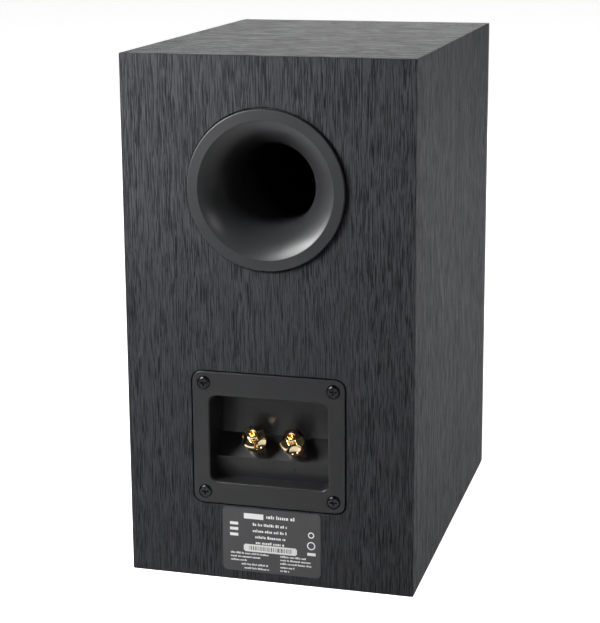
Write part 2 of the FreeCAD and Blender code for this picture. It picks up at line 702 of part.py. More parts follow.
def port():
    at = ("0", f"{REAR} + port_proud", "port_z", INWARD_FROM_REAR)
    outer_r = "(port_throat_r + port_skin)"
    collar_in, collar_out = f"({outer_r} + slip_fit)", f"({outer_r} + slip_fit + port_skin)"
    flange = "(port_proud - gasket)"
    barrel = "(port_mouth_r + port_skin)"
    corner = "port_round * (1 - cos(45))"
    flare = new_body("port_flare")
    revolve(
        flare,
        [
            ("port_mouth_r", "0"),
            ("port_flange_r - port_round", "0"),
            (f"port_flange_r - {corner}", corner, "port_flange_r", "port_round"),
            ("port_flange_r", flange),
            (barrel, flange),
            flare_middle(collar_out, barrel, f"port_flare_deep - {flange}", "port_flare_deep", "-")
            + (collar_out, "port_flare_deep"),
            (collar_out, "port_flare_deep + port_socket"),
            (collar_in, "port_flare_deep + port_socket"),
            (collar_in, "port_flare_deep"),
            ("port_throat_r", "port_flare_deep"),
            flare_middle("port_throat_r", "port_mouth_r", "port_flare_deep", "port_flare_deep", "-")
            + ("port_mouth_r", "0"),
        ],
    )
    mouth = number("port_mouth_r")
    round_edges(flare, "lip_round", lambda e: lies_at_y(e, 0) and near(e.BoundBox.XLength, 2 * mouth, 0.01))
    node(place(flare, *at), "port_flare")

    tube_end = "(port_length - port_inner_deep)"
    tube = turned_body("port_tube", [
        ("port_throat_r", "port_flare_deep"),
        (outer_r, "port_flare_deep"),
        (outer_r, tube_end),
        ("port_throat_r", tube_end),
    ])
    node(place(tube, *at), "port_tube")

    inner = turned_body("port_inner_flare", [
        ("port_throat_r", tube_end),
        (collar_in, tube_end),
        (collar_in, f"{tube_end} - port_socket"),
        (collar_out, f"{tube_end} - port_socket"),
        (collar_out, tube_end),
        flare_middle(collar_out, "(port_inner_r + port_skin)", "port_inner_deep", tube_end, "+")
        + ("port_inner_r + port_skin", "port_length"),
        ("port_inner_r", "port_length"),
        flare_middle("port_throat_r", "port_inner_r", "port_inner_deep", tube_end, "+")
        + ("port_throat_r", tube_end),
    ])
    node(place(inner, *at), "port_inner_flare")

    seal = turned_body("port_gasket", [
        (f"{barrel} + hole_gap", flange),
        ("port_flange_r - gasket_inset", flange),
        ("port_flange_r - gasket_inset", "port_proud"),
        (f"{barrel} + hole_gap", "port_proud"),
    ])
    node(place(seal, *at), "port_gasket")


# ---------------------------------------------------------------- terminal cup and binding posts

CUP_FACE = f"({REAR} + cup_proud)"
FLOOR = "(-mouth_drop - mouth_height / 2)"
SILL_TOP = f"({FLOOR} + sill_height)"
SEAT_RISE = "((cup_deep - sill_deep) / tan(post_tilt))"
# The middle of the seat that carries the posts, in the cup's local frame.
SEAT_DEEP = "((sill_deep + cup_deep) / 2)"
SEAT_Z = f"({SILL_TOP} + {SEAT_RISE} / 2)"


def terminal_cup():
    """A moulded cup: flange, recess, marked sill and a sloping seat for the posts, hollow behind."""
    body = new_body("cup_body")
    plate = draw(new_sketch(body, "XZ_Plane"), round_rectangle("cup_width", "cup_height", "cup_corner"))
    extrude(body, plate, "cup_flange")
    round_edges(body, "cup_round", lambda e: lies_at_y(e, 0), "flange_round")

    housing = new_sketch(body, "XZ_Plane", "-cup_flange / 2")
    draw(housing, round_rectangle(
        "(mouth_width + 2 * cup_skin)", "(mouth_height + 2 * cup_skin)", "(mouth_corner + cup_skin)",
        "0", "-mouth_drop",
    ))
    extrude(body, housing, "cup_deep + cup_skin - cup_flange / 2")
    recess = new_sketch(body, "XZ_Plane")
    draw(recess, round_rectangle("mouth_width", "mouth_height", "mouth_corner", "0", "-mouth_drop"))
    extrude(body, recess, "cup_deep", cut=True)
    half_mouth = number("mouth_width / 2") + 1
    round_edges(
        body, "mouth_round",
        lambda e: lies_at_y(e, 0) and e.BoundBox.XMax < half_mouth and e.BoundBox.XMin > -half_mouth,
        "mouth_round",
    )

    step = new_sketch(body, "YZ_Plane")
    deep_end, low_end = "(cup_deep + cup_skin / 2)", f"({FLOOR} - weld)"
    draw(step, [
        ("sill_deep", low_end),
        ("sill_deep", SILL_TOP),
        ("cup_deep", f"{SILL_TOP} + {SEAT_RISE}"),
        (deep_end, f"{SILL_TOP} + {SEAT_RISE}"),
        (deep_end, low_end),
    ])
    extrude(body, step, "mouth_width + 2 * weld", reverse=False, symmetric=True)

    behind = new_sketch(body, "YZ_Plane")
    inner_x = "(sill_deep + seat_thick)"
    inner_z = f"({SILL_TOP} - seat_thick * tan(post_tilt / 2))"
    past = "(cup_deep + cup_skin + 1)"
    draw(behind, [
        (inner_x, FLOOR),
        (inner_x, inner_z),
        (past, f"{inner_z} + ({past} - {inner_x}) / tan(post_tilt)"),
        (past, FLOOR),
    ])
    extrude(body, behind, "mouth_width - mouth_corner", cut=True, reverse=False, symmetric=True)

    shank, head = ("screw_r + 2 * pilot_gap", "cup_flange + 1"), ("screw_head_r + head_gap", "cup_sink")
    for radius, deep in (shank, head):
        holes = new_sketch(body, "XZ_Plane")
        for sx in (1, -1):
            for sz in (1, -1):
                circle_at(holes, radius, f"{sx} * cup_screw_x", f"{sz} * cup_screw_z")
        extrude(body, holes, deep, cut=True)
    place(body, "0", CUP_FACE, "cup_z", INWARD_FROM_REAR)

    holes = [
        cylinder(f"post_hole_{k}", "stud_tail_r + pilot_gap", "3 * seat_thick", (x, y, z), axis)
        for k, (x, y, z, axis) in enumerate(post_spots("-2 * seat_thick", along_z=True), 1)
    ]
    holed = cut("cup_holed", body, holes)
    face = f"({CUP_FACE} - sill_deep)"
    mark_z = f"(cup_z + {SILL_TOP} - mark_drop)"
    bars = []
    for k, (x, wide, high) in enumerate((
        ("post_pitch / 2", "mark_long", "mark_wide"),
        ("-post_pitch / 2", "mark_long", "mark_wide"),
        ("-post_pitch / 2", "mark_wide", "mark_long"),
    ), 1):
        bars.append(box(
            f"mark_bar_{k}", (wide, "2 * mark_high", high),
            (f"{x} - {wide} / 2", f"{face} - mark_high", f"{mark_z} - {high} / 2"),
        ))
    node(fuse("terminal_cup", [holed] + bars), "terminal_cup")


def cup_gasket():
    body = new_body("cup_gasket")
    sketch = new_sketch(body, "XZ_Plane", "-cup_flange")
    draw(sketch, round_rectangle(
        "(cup_width - 2 * gasket_inset)", "(cup_height - 2 * gasket_inset)", "(cup_corner - gasket_inset)"
    ))
    extrude(body, sketch, "gasket")
    hole = new_sketch(body, "XZ_Plane", "-cup_flange")
    draw(hole, round_rectangle(
        "(mouth_width + 2 * cup_skin + 2 * slip_fit)", "(mouth_height + 2 * cup_skin + 2 * slip_fit)",
        "(mouth_corner + cup_skin)", "0", "-mouth_drop",
    ))
    extrude(body, hole, "gasket", cut=True)
    screws = new_sketch(body, "XZ_Plane", "-cup_flange")
    for sx in (1, -1):
        for sz in (1, -1):
            circle_at(screws, "screw_r + 2 * pilot_gap", f"{sx} * cup_screw_x", f"{sz} * cup_screw_z")
    extrude(body, screws, "gasket", cut=True)
    node(place(body, "0", CUP_FACE, "cup_z", INWARD_FROM_REAR), "cup_gasket")


def cup_screws():
    screw = wood_screw("cup_screw", "cup_screw_long")
    group("cup_screws", "cup_screws", screw, cup_screw_spots(f"{CUP_FACE} - cup_sink"))


def post_spots(out="0", along_z=False):
    """Where the two posts stand, moved out along their axis: the negative one is at +X."""
    turn = Rotation(Vector(1, 0, 0), number("post_tilt"))
    if along_z:
        turn = turn.multiply(Z_TO_Y)
    y = f"{CUP_FACE} - {SEAT_DEEP} + ({out}) * cos(post_tilt)"
    z = f"cup_z + {SEAT_Z} + ({out}) * sin(post_tilt)"
    return [(x, y, z, turn) for x in ("post_pitch / 2", "-post_pitch / 2")]


def tilt_bound(thing):
    """Keeps a post piece's turn bound to the tilt."""
    thing.Placement.Rotation.Axis = Vector(1, 0, 0)
    bind(thing, Placement__Rotation__Angle="post_tilt")
    return thing


def post_stud(label, x, y, z, turn):
    """Stud, flange and tail in one turned piece, with a banana socket and a cross hole for bare wire."""
    end = "(post_flange + ring_thick + knob_long + stud_proud)"
    body = new_body(label)
    revolve(body, [
        ("0", "-stud_tail"),
        ("stud_tail_r - stud_bevel", "-stud_tail"),
        ("stud_tail_r", "stud_bevel - stud_tail"),
        ("stud_tail_r", "0"),
        ("post_flange_r - stud_bevel", "0"),
        ("post_flange_r", "stud_bevel"),
        ("post_flange_r", "post_flange - stud_bevel"),
        ("post_flange_r - stud_bevel", "post_flange"),
        ("stud_r", "post_flange"),
        ("stud_r", f"{end} - stud_bevel"),
        ("stud_r - stud_bevel", end),
        ("socket_r + stud_bevel", end),
        ("socket_r", f"{end} - stud_bevel"),
        ("socket_r", f"{end} - socket_deep"),
        ("0", f"{end} - socket_deep"),
    ])
    hole = new_sketch(body, "YZ_Plane")
    circle_at(hole, "wire_hole_r", "post_flange + wire_hole_up", "0")
    extrude(body, hole, "4 * stud_r", cut=True, reverse=False, symmetric=True)
    node(tilt_bound(place(body, x, y, z, turn)), label)


def clamp_ring(label, x, y, z, turn):
    """The coloured ring that the knob pushes down onto the wire."""
    body = turned_body(label, [
        ("stud_r + knob_fit", "post_flange"),
        ("ring_r - stud_bevel", "post_flange"),
        ("ring_r", "post_flange + stud_bevel"),
        ("ring_r", "post_flange + ring_thick - stud_bevel"),
        ("ring_r - stud_bevel", "post_flange + ring_thick"),
        ("stud_r + knob_fit", "post_flange + ring_thick"),
    ])
    node(tilt_bound(place(body, x, y, z, turn)), label)


def post_knob(label, x, y, z, turn, first_flute):
    """A three-lobed knob: a bevelled sleeve with three dished flutes."""
    foot = "(post_flange + ring_thick)"
    end = f"({foot} + knob_long)"
    bore = "(stud_r + knob_fit)"
    sleeve = turned_body(f"{label}_sleeve", [
        (bore, foot),
        ("knob_r - knob_mouth", foot),
        ("knob_r", f"{foot} + knob_mouth"),
        ("knob_r", f"{end} - knob_chamfer"),
        ("knob_r - knob_chamfer", end),
        (f"{bore} + knob_mouth", end),
        (bore, f"{end} - knob_mouth"),
    ])
    ball_at = f"({foot} + flute_up)"
    tools = []
    for k in range(3):
        angle = f"({first_flute} + {k} * 120)"
        spot = (f"flute_at * cos({angle})", ball_at, f"flute_at * sin({angle})")
        ball = doc.addObject("Part::Sphere", f"{label}_ball_{k}")
        bind(ball, Radius="flute_r")
        tools.append(place(ball, *spot))
        tools.append(cylinder(f"{label}_flute_{k}", "flute_r", "knob_long", spot, Z_TO_Y))
    made = cut(label, sleeve, tools)
    node(tilt_bound(place(made, x, y, z, turn)), label)


def hex_nut():
    """A nut whose axis is Y, behind the seat and the solder tag."""
    body = new_body("post_nut")
    flats = "nut_across / 2"
    corner = "(nut_across / 2 / cos(30))"
    sketch = new_sketch(body, "XZ_Plane", "seat_thick + tag_thick")
    draw(sketch, [
        (corner, "0"), (f"{corner} / 2", flats), (f"-{corner} / 2", flats),
        (f"-{corner}", "0"), (f"-{corner} / 2", f"-{flats}"), (f"{corner} / 2", f"-{flats}"),
    ])
    extrude(body, sketch, "nut_thick", reverse=False)
    hole = circle_at(new_sketch(body, "XZ_Plane", "seat_thick + tag_thick"), "stud_tail_r + knob_fit")
    extrude(body, hole, "nut_thick", cut=True, reverse=False)
    return body


def solder_tag():
    """A flat tag under the nut, whose tail points up the slope."""
    body = new_body("solder_tag")
    half = "tag_wide / 2"
    sketch = new_sketch(body, "XZ_Plane", "seat_thick")
    draw(sketch, [
        (f"-{half}", "0"),
        ("0", f"-{half}", half, "0"),
        (half, "tag_wide / 2"),
        ("tag_wide / 4", "tag_wide"),
        ("tag_wide / 4", "tag_long"),
        ("-tag_wide / 4", "tag_long"),
        ("-tag_wide / 4", "tag_wide"),
        (f"-{half}", "tag_wide / 2"),
    ])
    extrude(body, sketch, "tag_thick", reverse=False)
    hole = circle_at(new_sketch(body, "XZ_Plane", "seat_thick"), "stud_tail_r + knob_fit")
    extrude(body, hole, "tag_thick", cut=True, reverse=False)
    return body


def binding_posts():
    spots = post_spots()
    for name, spot, first_flute in (("negative", spots[0], "-18"), ("positive", spots[1], "10")):
        post_stud(f"{name}_post_stud", *spot)
        clamp_ring(f"{name}_clamp_ring", *spot)
        post_knob(f"{name}_post_knob", *spot, first_flute)
    group("post_nuts", "post_nuts", hex_nut(), spots)
    group("post_solder_tags", "post_solder_tags", solder_tag(), spots)


def rating_label():
    body = new_body("rating_label")
    sketch = new_sketch(body, "XZ_Plane")
    draw(sketch, round_rectangle("label_width", "label_height", "label_corner"))
    extrude(body, sketch, "label_thick")
    node(place(body, "-label_x", f"{REAR} + label_thick", "label_z", INWARD_FROM_REAR), "rating_label")


# ---------------------------------------------------------------- woofer

TRIM_BACK = "trim_thick"
RIM = "(trim_thick + basket_sheet)"
CONE_TOP = f"({TRIM_BACK} + cone_thick)"
POLE_R = "(coil_r - coil_gap)"
GAP_R = "(coil_r + former_thick + coil_thick + coil_gap)"
FLOOR_BACK = "(basket_deep + basket_skin)"
PLATE_BACK = f"({FLOOR_BACK} + plate_thick)"
MAGNET_BACK = f"({PLATE_BACK} + magnet_thick)"
# The winding is centred in the top plate's gap at rest.
COIL_FRONT = f"({FLOOR_BACK} + plate_thick / 2 - coil_long / 2)"
COIL_BACK = f"({COIL_FRONT} + coil_long)"


def woofer_piece(name, outline):
    body = turned_body(name, outline)
    return node(place(body, "0", FRONT, "woofer_z"), name)


def woofer_basket():
    """Flange, windowed wall, spider ledge and floor in one casting."""
    body = new_body("woofer_basket")
    ledge = "(spider_deep + spider_thick)"
    slope = "((basket_top_r - basket_bottom_r) / (basket_deep - trim_thick))"
    wall_at_ledge = f"(basket_top_r - basket_skin - {slope} * ({ledge} - trim_thick))"
    wall_below = f"(basket_top_r - basket_skin - {slope} * ({ledge} + spider_ledge - trim_thick))"
    revolve(body, [
        ("surround_out_r", TRIM_BACK),
        ("woofer_r", TRIM_BACK),
        ("woofer_r", RIM),
        (f"basket_top_r - {slope} * basket_sheet", RIM),
        ("basket_bottom_r", FLOOR_BACK),
        (f"{GAP_R} + coil_gap", FLOOR_BACK),
        (f"{GAP_R} + coil_gap", "basket_deep"),
        ("basket_bottom_r - basket_skin", "basket_deep"),
        (wall_below, f"{ledge} + spider_ledge"),
        ("spider_r - 3 * spider_wave", f"{ledge} + spider_ledge"),
        ("spider_r - 3 * spider_wave", ledge),
        (wall_at_ledge, ledge),
        (f"surround_out_r - {slope} * basket_sheet", RIM),
    ])
    window = new_sketch(body, "YZ_Plane")
    low, high = f"{RIM} + 3 * basket_skin", "spider_deep - 2 * basket_skin"
    draw(window, [
        (low, "-basket_window / 2"),
        (high, "-basket_window / 3"),
        (high, "basket_window / 3"),
        (low, "basket_window / 2"),
    ])
    doc.recompute()
    first = extrude(body, window, "woofer_r", cut=True, reverse=True)
    doc.recompute()
    ring = body.newObject("PartDesign::PolarPattern", "basket_windows_ring")
    ring.Originals = [first]
    ring.Axis = (next(f for f in body.Origin.OriginFeatures if f.Role == "Y_Axis"), [""])
    ring.Angle = 360
    bind(ring, Occurrences="basket_windows")
    body.Tip = ring
    holes = new_sketch(body, "XZ_Plane", "-trim_thick")
    add_screw_circles(holes, "woofer_screws", "bolt_r", "screw_r + 2 * pilot_gap", "30")
    extrude(body, holes, "basket_sheet", cut=True)
    node(place(body, "0", FRONT, "woofer_z"), "woofer_basket")


def add_screw_circles(sketch, count, radius, hole, first):
    for k in range(int(number(count))):
        angle = f"({first} + {k} * 360 / {count})"
        circle_at(sketch, hole, f"{radius} * cos({angle})", f"{radius} * sin({angle})")


def woofer_trim():
    body = turned_body("woofer_trim_ring", [
        ("trim_inner_r", "0"),
        ("woofer_r - port_round", "0"),
        ("woofer_r - port_round * (1 - cos(45))", "port_round * (1 - cos(45))", "woofer_r", "port_round"),
        ("woofer_r", TRIM_BACK),
        ("trim_inner_r", TRIM_BACK),
    ])
    holes = new_sketch(body, "XZ_Plane")
    add_screw_circles(holes, "woofer_screws", "bolt_r", "screw_head_r + head_gap", "30")
    extrude(body, holes, TRIM_BACK, cut=True)
    node(place(body, "0", FRONT, "woofer_z"), "woofer_trim_ring")


def flange_gasket(name, inner, outer, front, count, radius, first, middle):
    body = turned_body(name, [
        (inner, front),
        (outer, front),
        (outer, f"{front} + woofer_gasket"),
        (inner, f"{front} + woofer_gasket"),
    ])
    holes = new_sketch(body, "XZ_Plane", f"-{front}")
    add_screw_circles(holes, count, radius, "screw_r + 2 * pilot_gap", first)
    extrude(body, holes, "woofer_gasket", cut=True)
    node(place(body, "0", FRONT, middle), name)


def woofer_surround():
    """A rubber half roll between two flat lips; the cone's rim is under the inner lip."""
    lip_front = f"({TRIM_BACK} - surround_thick)"
    middle = "((surround_in_r + surround_out_r) / 2)"
    woofer_piece("woofer_surround", [
        ("surround_in_r - surround_lip", lip_front),
        ("surround_in_r", lip_front),
        (middle, "-front_proud", "surround_out_r", lip_front),
        ("surround_out_r + surround_lip", lip_front),
        ("surround_out_r + surround_lip", TRIM_BACK),
        ("surround_out_r - surround_thick", TRIM_BACK),
        (middle, "surround_thick - front_proud", "surround_in_r + surround_thick", TRIM_BACK),
        ("surround_in_r - surround_lip", TRIM_BACK),
    ])


def woofer_cone():
    """The cone's skin: a flat rim under the surround, a curved wall and a neck on the former."""
    neck = "(coil_r + former_thick)"
    rim_in = "(surround_in_r - surround_lip)"
    mid_r, mid_a = f"(({neck} + {rim_in}) / 2)", f"((cone_deep + {TRIM_BACK}) / 2)"
    woofer_piece("woofer_cone", [
        (rim_in, TRIM_BACK),
        ("surround_in_r", TRIM_BACK),
        ("surround_in_r", CONE_TOP),
        (f"{rim_in} + cone_thick / 2", CONE_TOP),
        (f"{mid_r} + cone_thick / 2", f"{mid_a} - cone_sag + cone_thick",
         f"{neck} + cone_thick", "cone_deep"),
        (neck, "cone_deep"),
        (neck, "cone_deep - 2 * cone_thick"),
        (mid_r, f"{mid_a} - cone_sag", rim_in, TRIM_BACK),
    ])


def cone_depth_at(radius):
    """Roughly how deep the cone's front is at a radius, as a formula on its straight chord."""
    neck = "(coil_r + former_thick)"
    rim_in = "(surround_in_r - surround_lip)"
    share = f"(({rim_in} - {radius}) / ({rim_in} - {neck}))"
    return f"({TRIM_BACK} + {share} * (cone_deep - {TRIM_BACK}) - 4 * cone_sag * {share} * (1 - {share}))"


def dust_cap():
    base = f"({cone_depth_at('cap_r')} - cone_thick)"
    woofer_piece("woofer_dust_cap", [
        ("cap_r", base),
        ("cap_r * 0.52", f"{base} - cap_rise * 0.76", "0", f"{base} - cap_rise"),
        ("0", f"{base} - cap_rise + cone_thick"),
        ("cap_r * 0.52 - cone_thick / 2", f"{base} - cap_rise * 0.76 + cone_thick",
         "cap_r - cone_thick", base),
    ])


def woofer_coil():
    woofer_piece("woofer_coil_former", [
        ("coil_r", "cone_deep - 3 * cone_thick"),
        ("coil_r + former_thick", "cone_deep - 3 * cone_thick"),
        ("coil_r + former_thick", COIL_BACK),
        ("coil_r", COIL_BACK),
    ])
    woofer_piece("woofer_voice_coil", [
        ("coil_r + former_thick", COIL_FRONT),
        ("coil_r + former_thick + coil_thick", COIL_FRONT),
        ("coil_r + former_thick + coil_thick", COIL_BACK),
        ("coil_r + former_thick", COIL_BACK),
    ])


def woofer_spider():
    """A corrugated disc from the former to the basket's ledge."""
    inner, waves = "(coil_r + former_thick)", 5
    flat = "(3 * spider_wave)"
    pitch = f"((spider_r - {flat} - {inner} - {flat} / 3) / {waves})"
    start = f"({inner} + {flat} / 3)"
    front, back = [], []
    for k in range(waves):
        side = "-" if k % 2 else "+"
        middle = f"{start} + {pitch} * {k} + {pitch} / 2"
        far = f"{start} + {pitch} * {k + 1}"
        front.append((middle, f"spider_deep {side} spider_wave", far, "spider_deep"))
    near_end = f"{start} + {pitch} * 0"
    for k in reversed(range(waves)):
        side = "-" if k % 2 else "+"
        middle = f"{start} + {pitch} * {k} + {pitch} / 2"
        near_end = f"{start} + {pitch} * {k}"
        back_face = "spider_deep + spider_thick"
        back.append((middle, f"{back_face} {side} spider_wave", near_end, back_face))
    woofer_piece("woofer_spider", [
        (inner, "spider_deep"),
        (f"{start} + {pitch} * 0", "spider_deep"),
        *front,
        ("spider_r", "spider_deep"),
        ("spider_r", "spider_deep + spider_thick"),
        (f"{start} + {pitch} * {waves}", "spider_deep + spider_thick"),
        *back,
        (inner, "spider_deep + spider_thick"),
    ])


def woofer_motor():
    woofer_piece("woofer_top_plate", [
        (GAP_R, FLOOR_BACK), ("plate_r", FLOOR_BACK), ("plate_r", PLATE_BACK), (GAP_R, PLATE_BACK),
    ])
    woofer_piece("woofer_magnet", [
        ("magnet_hole_r", PLATE_BACK), ("magnet_r", PLATE_BACK),
        ("magnet_r", MAGNET_BACK), ("magnet_hole_r", MAGNET_BACK),
    ])
    woofer_piece("woofer_yoke", [
        ("vent_r", FLOOR_BACK),
        (POLE_R, FLOOR_BACK),
        (POLE_R, MAGNET_BACK),
        ("plate_r", MAGNET_BACK),
        ("plate_r", f"{MAGNET_BACK} + plate_thick"),
        ("vent_r", f"{MAGNET_BACK} + plate_thick"),
    ])


def woofer():
    woofer_basket()
    woofer_trim()
    flange_gasket(
        "woofer_gasket", "woofer_cut_r + rebate_gap", "woofer_r - gasket_inset", RIM,
        "woofer_screws", "bolt_r", "30", "woofer_z",
    )
    woofer_surround()
    woofer_cone()
    dust_cap()
    woofer_coil()
    woofer_spider()
    woofer_motor()
    screw = wood_screw("woofer_screw", "woofer_screw_long")
    count = int(number("woofer_screws"))
    group("woofer_screws", "woofer_screws", screw,
          ring_spots(count, "bolt_r", "woofer_z", f"{FRONT} + {TRIM_BACK}", INWARD_FROM_FRONT, "30"))


# ---------------------------------------------------------------- tweeter

DOME_FOOT = "(guide_deep + 1.4)"
T_PLATE_BACK = "(barrel_deep + tweeter_plate)"
T_MAGNET_BACK = f"({T_PLATE_BACK} + tweeter_magnet)"
T_YOKE_BACK = f"({T_MAGNET_BACK} + tweeter_plate)"


def tweeter_piece(name, outline):
    body = turned_body(name, outline)
    return node(place(body, "0", FRONT, "tweeter_z"), name)


def tweeter_face():
    """Faceplate with a shallow waveguide and a rear barrel."""
    throat_depth = "guide_deep"
    middle = ("(guide_throat_r + guide_r) / 2 - guide_bow * 0.4", "guide_deep / 2 - guide_bow * 0.92")
    round_cut = "face_round * (1 - cos(45))"
    body = new_body("tweeter_faceplate")
    revolve(body, [
        ("guide_throat_r", throat_depth),
        middle + ("guide_r", "0"),
        ("face_r - face_round", "0"),
        (f"face_r - {round_cut}", round_cut, "face_r", "face_round"),
        ("face_r", "face_thick"),
        ("barrel_r", "face_thick"),
        ("barrel_r", "barrel_deep"),
        ("roll_r + 2", "barrel_deep"),
        ("roll_r + 2", "guide_deep + 1"),
        ("guide_throat_r", "guide_deep + 1"),
    ])
    for hole, deep in (("screw_r + 2 * pilot_gap", "face_thick"), ("screw_head_r + head_gap", "face_sink")):
        holes = new_sketch(body, "XZ_Plane")
        add_screw_circles(holes, "face_screws", "face_bolt_r", hole, "45")
        extrude(body, holes, deep, cut=True)
    node(place(body, "0", FRONT, "tweeter_z"), "tweeter_faceplate")


def tweeter():
    tweeter_face()
    flange_gasket(
        "tweeter_gasket", "barrel_r + hole_gap", "face_r - gasket_inset", "face_thick",
        "face_screws", "face_bolt_r", "45", "tweeter_z",
    )
    apex = f"({DOME_FOOT} - dome_rise)"
    tweeter_piece("tweeter_dome", [
        ("dome_r", DOME_FOOT),
        ("dome_r * 0.54", f"{DOME_FOOT} - dome_rise * 0.73", "0", apex),
        ("0", f"{apex} + dome_thick"),
        ("dome_r * 0.54 - dome_thick / 2", f"{DOME_FOOT} - dome_rise * 0.73 + dome_thick",
         "dome_r - 2 * dome_thick", DOME_FOOT),
    ])
    back = f"({DOME_FOOT} + dome_thick)"
    middle = "((dome_r + roll_r) / 2)"
    tweeter_piece("tweeter_suspension", [
        ("dome_r - 2 * dome_thick", DOME_FOOT),
        ("dome_r", DOME_FOOT),
        (middle, f"{DOME_FOOT} - roll_rise", "roll_r", DOME_FOOT),
        ("roll_r + 2 - slip_fit", DOME_FOOT),
        ("roll_r + 2 - slip_fit", back),
        ("roll_r - dome_thick / 2", back),
        (middle, f"{DOME_FOOT} - roll_rise + dome_thick", "dome_r + dome_thick / 2", back),
        ("dome_r - 2 * dome_thick", back),
    ])
    coil_back = f"({back} + tweeter_coil)"
    coil_in, coil_out = "(dome_r - 2 * dome_thick)", "dome_r"
    tweeter_piece("tweeter_voice_coil", [
        (coil_in, back), (coil_out, back), (coil_out, coil_back), (coil_in, coil_back),
    ])
    ring = f"({coil_out} + tweeter_gap)"
    tweeter_piece("tweeter_top_plate", [
        ("roll_r + 2 - slip_fit", back),
        ("roll_r + 2 - slip_fit", "barrel_deep"),
        ("tweeter_plate_r", "barrel_deep"),
        ("tweeter_plate_r", T_PLATE_BACK),
        (ring, T_PLATE_BACK),
        (ring, f"{back} + tweeter_gap"),
        ("roll_r - dome_thick", f"{back} + tweeter_gap"),
        ("roll_r - dome_thick", back),
    ])
    tweeter_piece("tweeter_magnet", [
        ("tweeter_magnet_in", T_PLATE_BACK),
        ("tweeter_magnet_r", T_PLATE_BACK),
        ("tweeter_magnet_r", T_MAGNET_BACK),
        ("tweeter_magnet_in", T_MAGNET_BACK),
    ])
    pole = f"({coil_in} - tweeter_gap)"
    tweeter_piece("tweeter_yoke", [
        ("0", f"{back} + 1"),
        (pole, f"{back} + 1"),
        (pole, T_MAGNET_BACK),
        ("tweeter_magnet_r", T_MAGNET_BACK),
        ("tweeter_magnet_r", T_YOKE_BACK),
        ("0", T_YOKE_BACK),
    ])
    end = f"({T_YOKE_BACK} + chamber_deep)"
    tweeter_piece("tweeter_rear_chamber", [
        ("chamber_r - port_skin", T_YOKE_BACK),
        ("chamber_r", T_YOKE_BACK),
        ("chamber_r", end),
        ("0", end),
        ("0", f"{end} - port_skin"),
        ("chamber_r - port_skin", f"{end} - port_skin"),
    ])
    screw = wood_screw("tweeter_screw", "face_screw_long")
    count = int(number("face_screws"))
    group("tweeter_screws", "tweeter_screws", screw,
          ring_spots(count, "face_bolt_r", "tweeter_z", f"{FRONT} + face_sink", INWARD_FROM_FRONT, "45"))


# ---------------------------------------------------------------- crossover

BOARD_TOP = "(wall + standoff + board_thick)"


def corner_spots(z, rotation):
    return [
        (f"{sx} * (board_width / 2 - board_margin)", f"board_y + {sy} * (board_long / 2 - board_margin)",
         z, rotation)
        for sx in (1, -1)
        for sy in (1, -1)
    ]


def spool_spots():
    off = "(board_width / 4)"
    return [
        (off, f"board_y + {off}", BOARD_TOP, UP_FROM_Y),
        (f"-{off}", f"board_y + {off}", BOARD_TOP, UP_FROM_Y),
    ]


def crossover():
    """The dividing network on its board: two inductors, three capacitors and two resistors."""
    board = box(
        "board_blank", ("board_width", "board_long", "board_thick"),
        ("-board_width / 2", "board_y - board_long / 2", "wall + standoff"),
    )
    drills = [
        cylinder(f"board_drill_{k}", "screw_r + 2 * pilot_gap", "standoff", (x, y, z), Rotation())
        for k, (x, y, z, _) in enumerate(corner_spots("wall + standoff - 1", None), 1)
    ]
    node(cut("crossover_board", board, drills), "crossover_board")

    foot = turned_body("standoff_master", [
        ("screw_r + pilot_gap", "0"),
        ("standoff_r", "0"),
        ("standoff_r", "standoff"),
        ("screw_r + pilot_gap", "standoff"),
    ])
    group("board_standoffs", "board_standoffs", foot, corner_spots("wall", UP_FROM_Y))
    screw = wood_screw("board_screw", "board_screw_long")
    group("board_screws", "board_screws", screw, corner_spots(BOARD_TOP, Rotation(Vector(1, 0, 0), -90)))

    spool = turned_body("spool_master", [
        ("spool_bore_r", "0"), ("spool_r", "0"), ("spool_r", "spool_flange"), ("spool_hub_r", "spool_flange"),
        ("spool_hub_r", "spool_high - spool_flange"), ("spool_r", "spool_high - spool_flange"),
        ("spool_r", "spool_high"), ("spool_bore_r", "spool_high"),
    ])
    group("inductor_bobbins", "inductor_bobbins", spool, spool_spots())
    winding = turned_body("winding_master", [
        ("spool_hub_r", "spool_flange"), ("winding_r", "spool_flange"),
        ("winding_r", "spool_high - spool_flange"), ("spool_hub_r", "spool_high - spool_flange"),
    ])
    group("inductor_windings", "inductor_windings", winding, spool_spots())

    can = turned_body("can_master", [
        ("0", "0"), ("can_r - spool_flange / 2", "0"), ("can_r", "spool_flange / 2"),
        ("can_r", "can_long - spool_flange / 2"), ("can_r - spool_flange / 2", "can_long"), ("0", "can_long"),
    ])
    flat = f"{BOARD_TOP} + can_r"
    first_y = "board_y - board_long / 2 + 2 * board_margin"
    cans = [(f"{k} * (2 * can_r + spool_flange)", first_y, flat, INWARD_FROM_FRONT) for k in (-1, 0, 1)]
    group("capacitors", "capacitors", can, cans)

    bricks = [
        box(f"brick_{k}", ("brick_long", "brick_wide", "brick_wide"),
            (f"{x} - brick_long / 2", "board_y - brick_wide / 2", BOARD_TOP))
        for k, x in enumerate(("board_width / 4", "-board_width / 4"), 1)
    ]
    made = doc.addObject("Part::Compound", "resistors")
    made.Links = bricks
    node(made, "resistors")


# ---------------------------------------------------------------- leads and damping


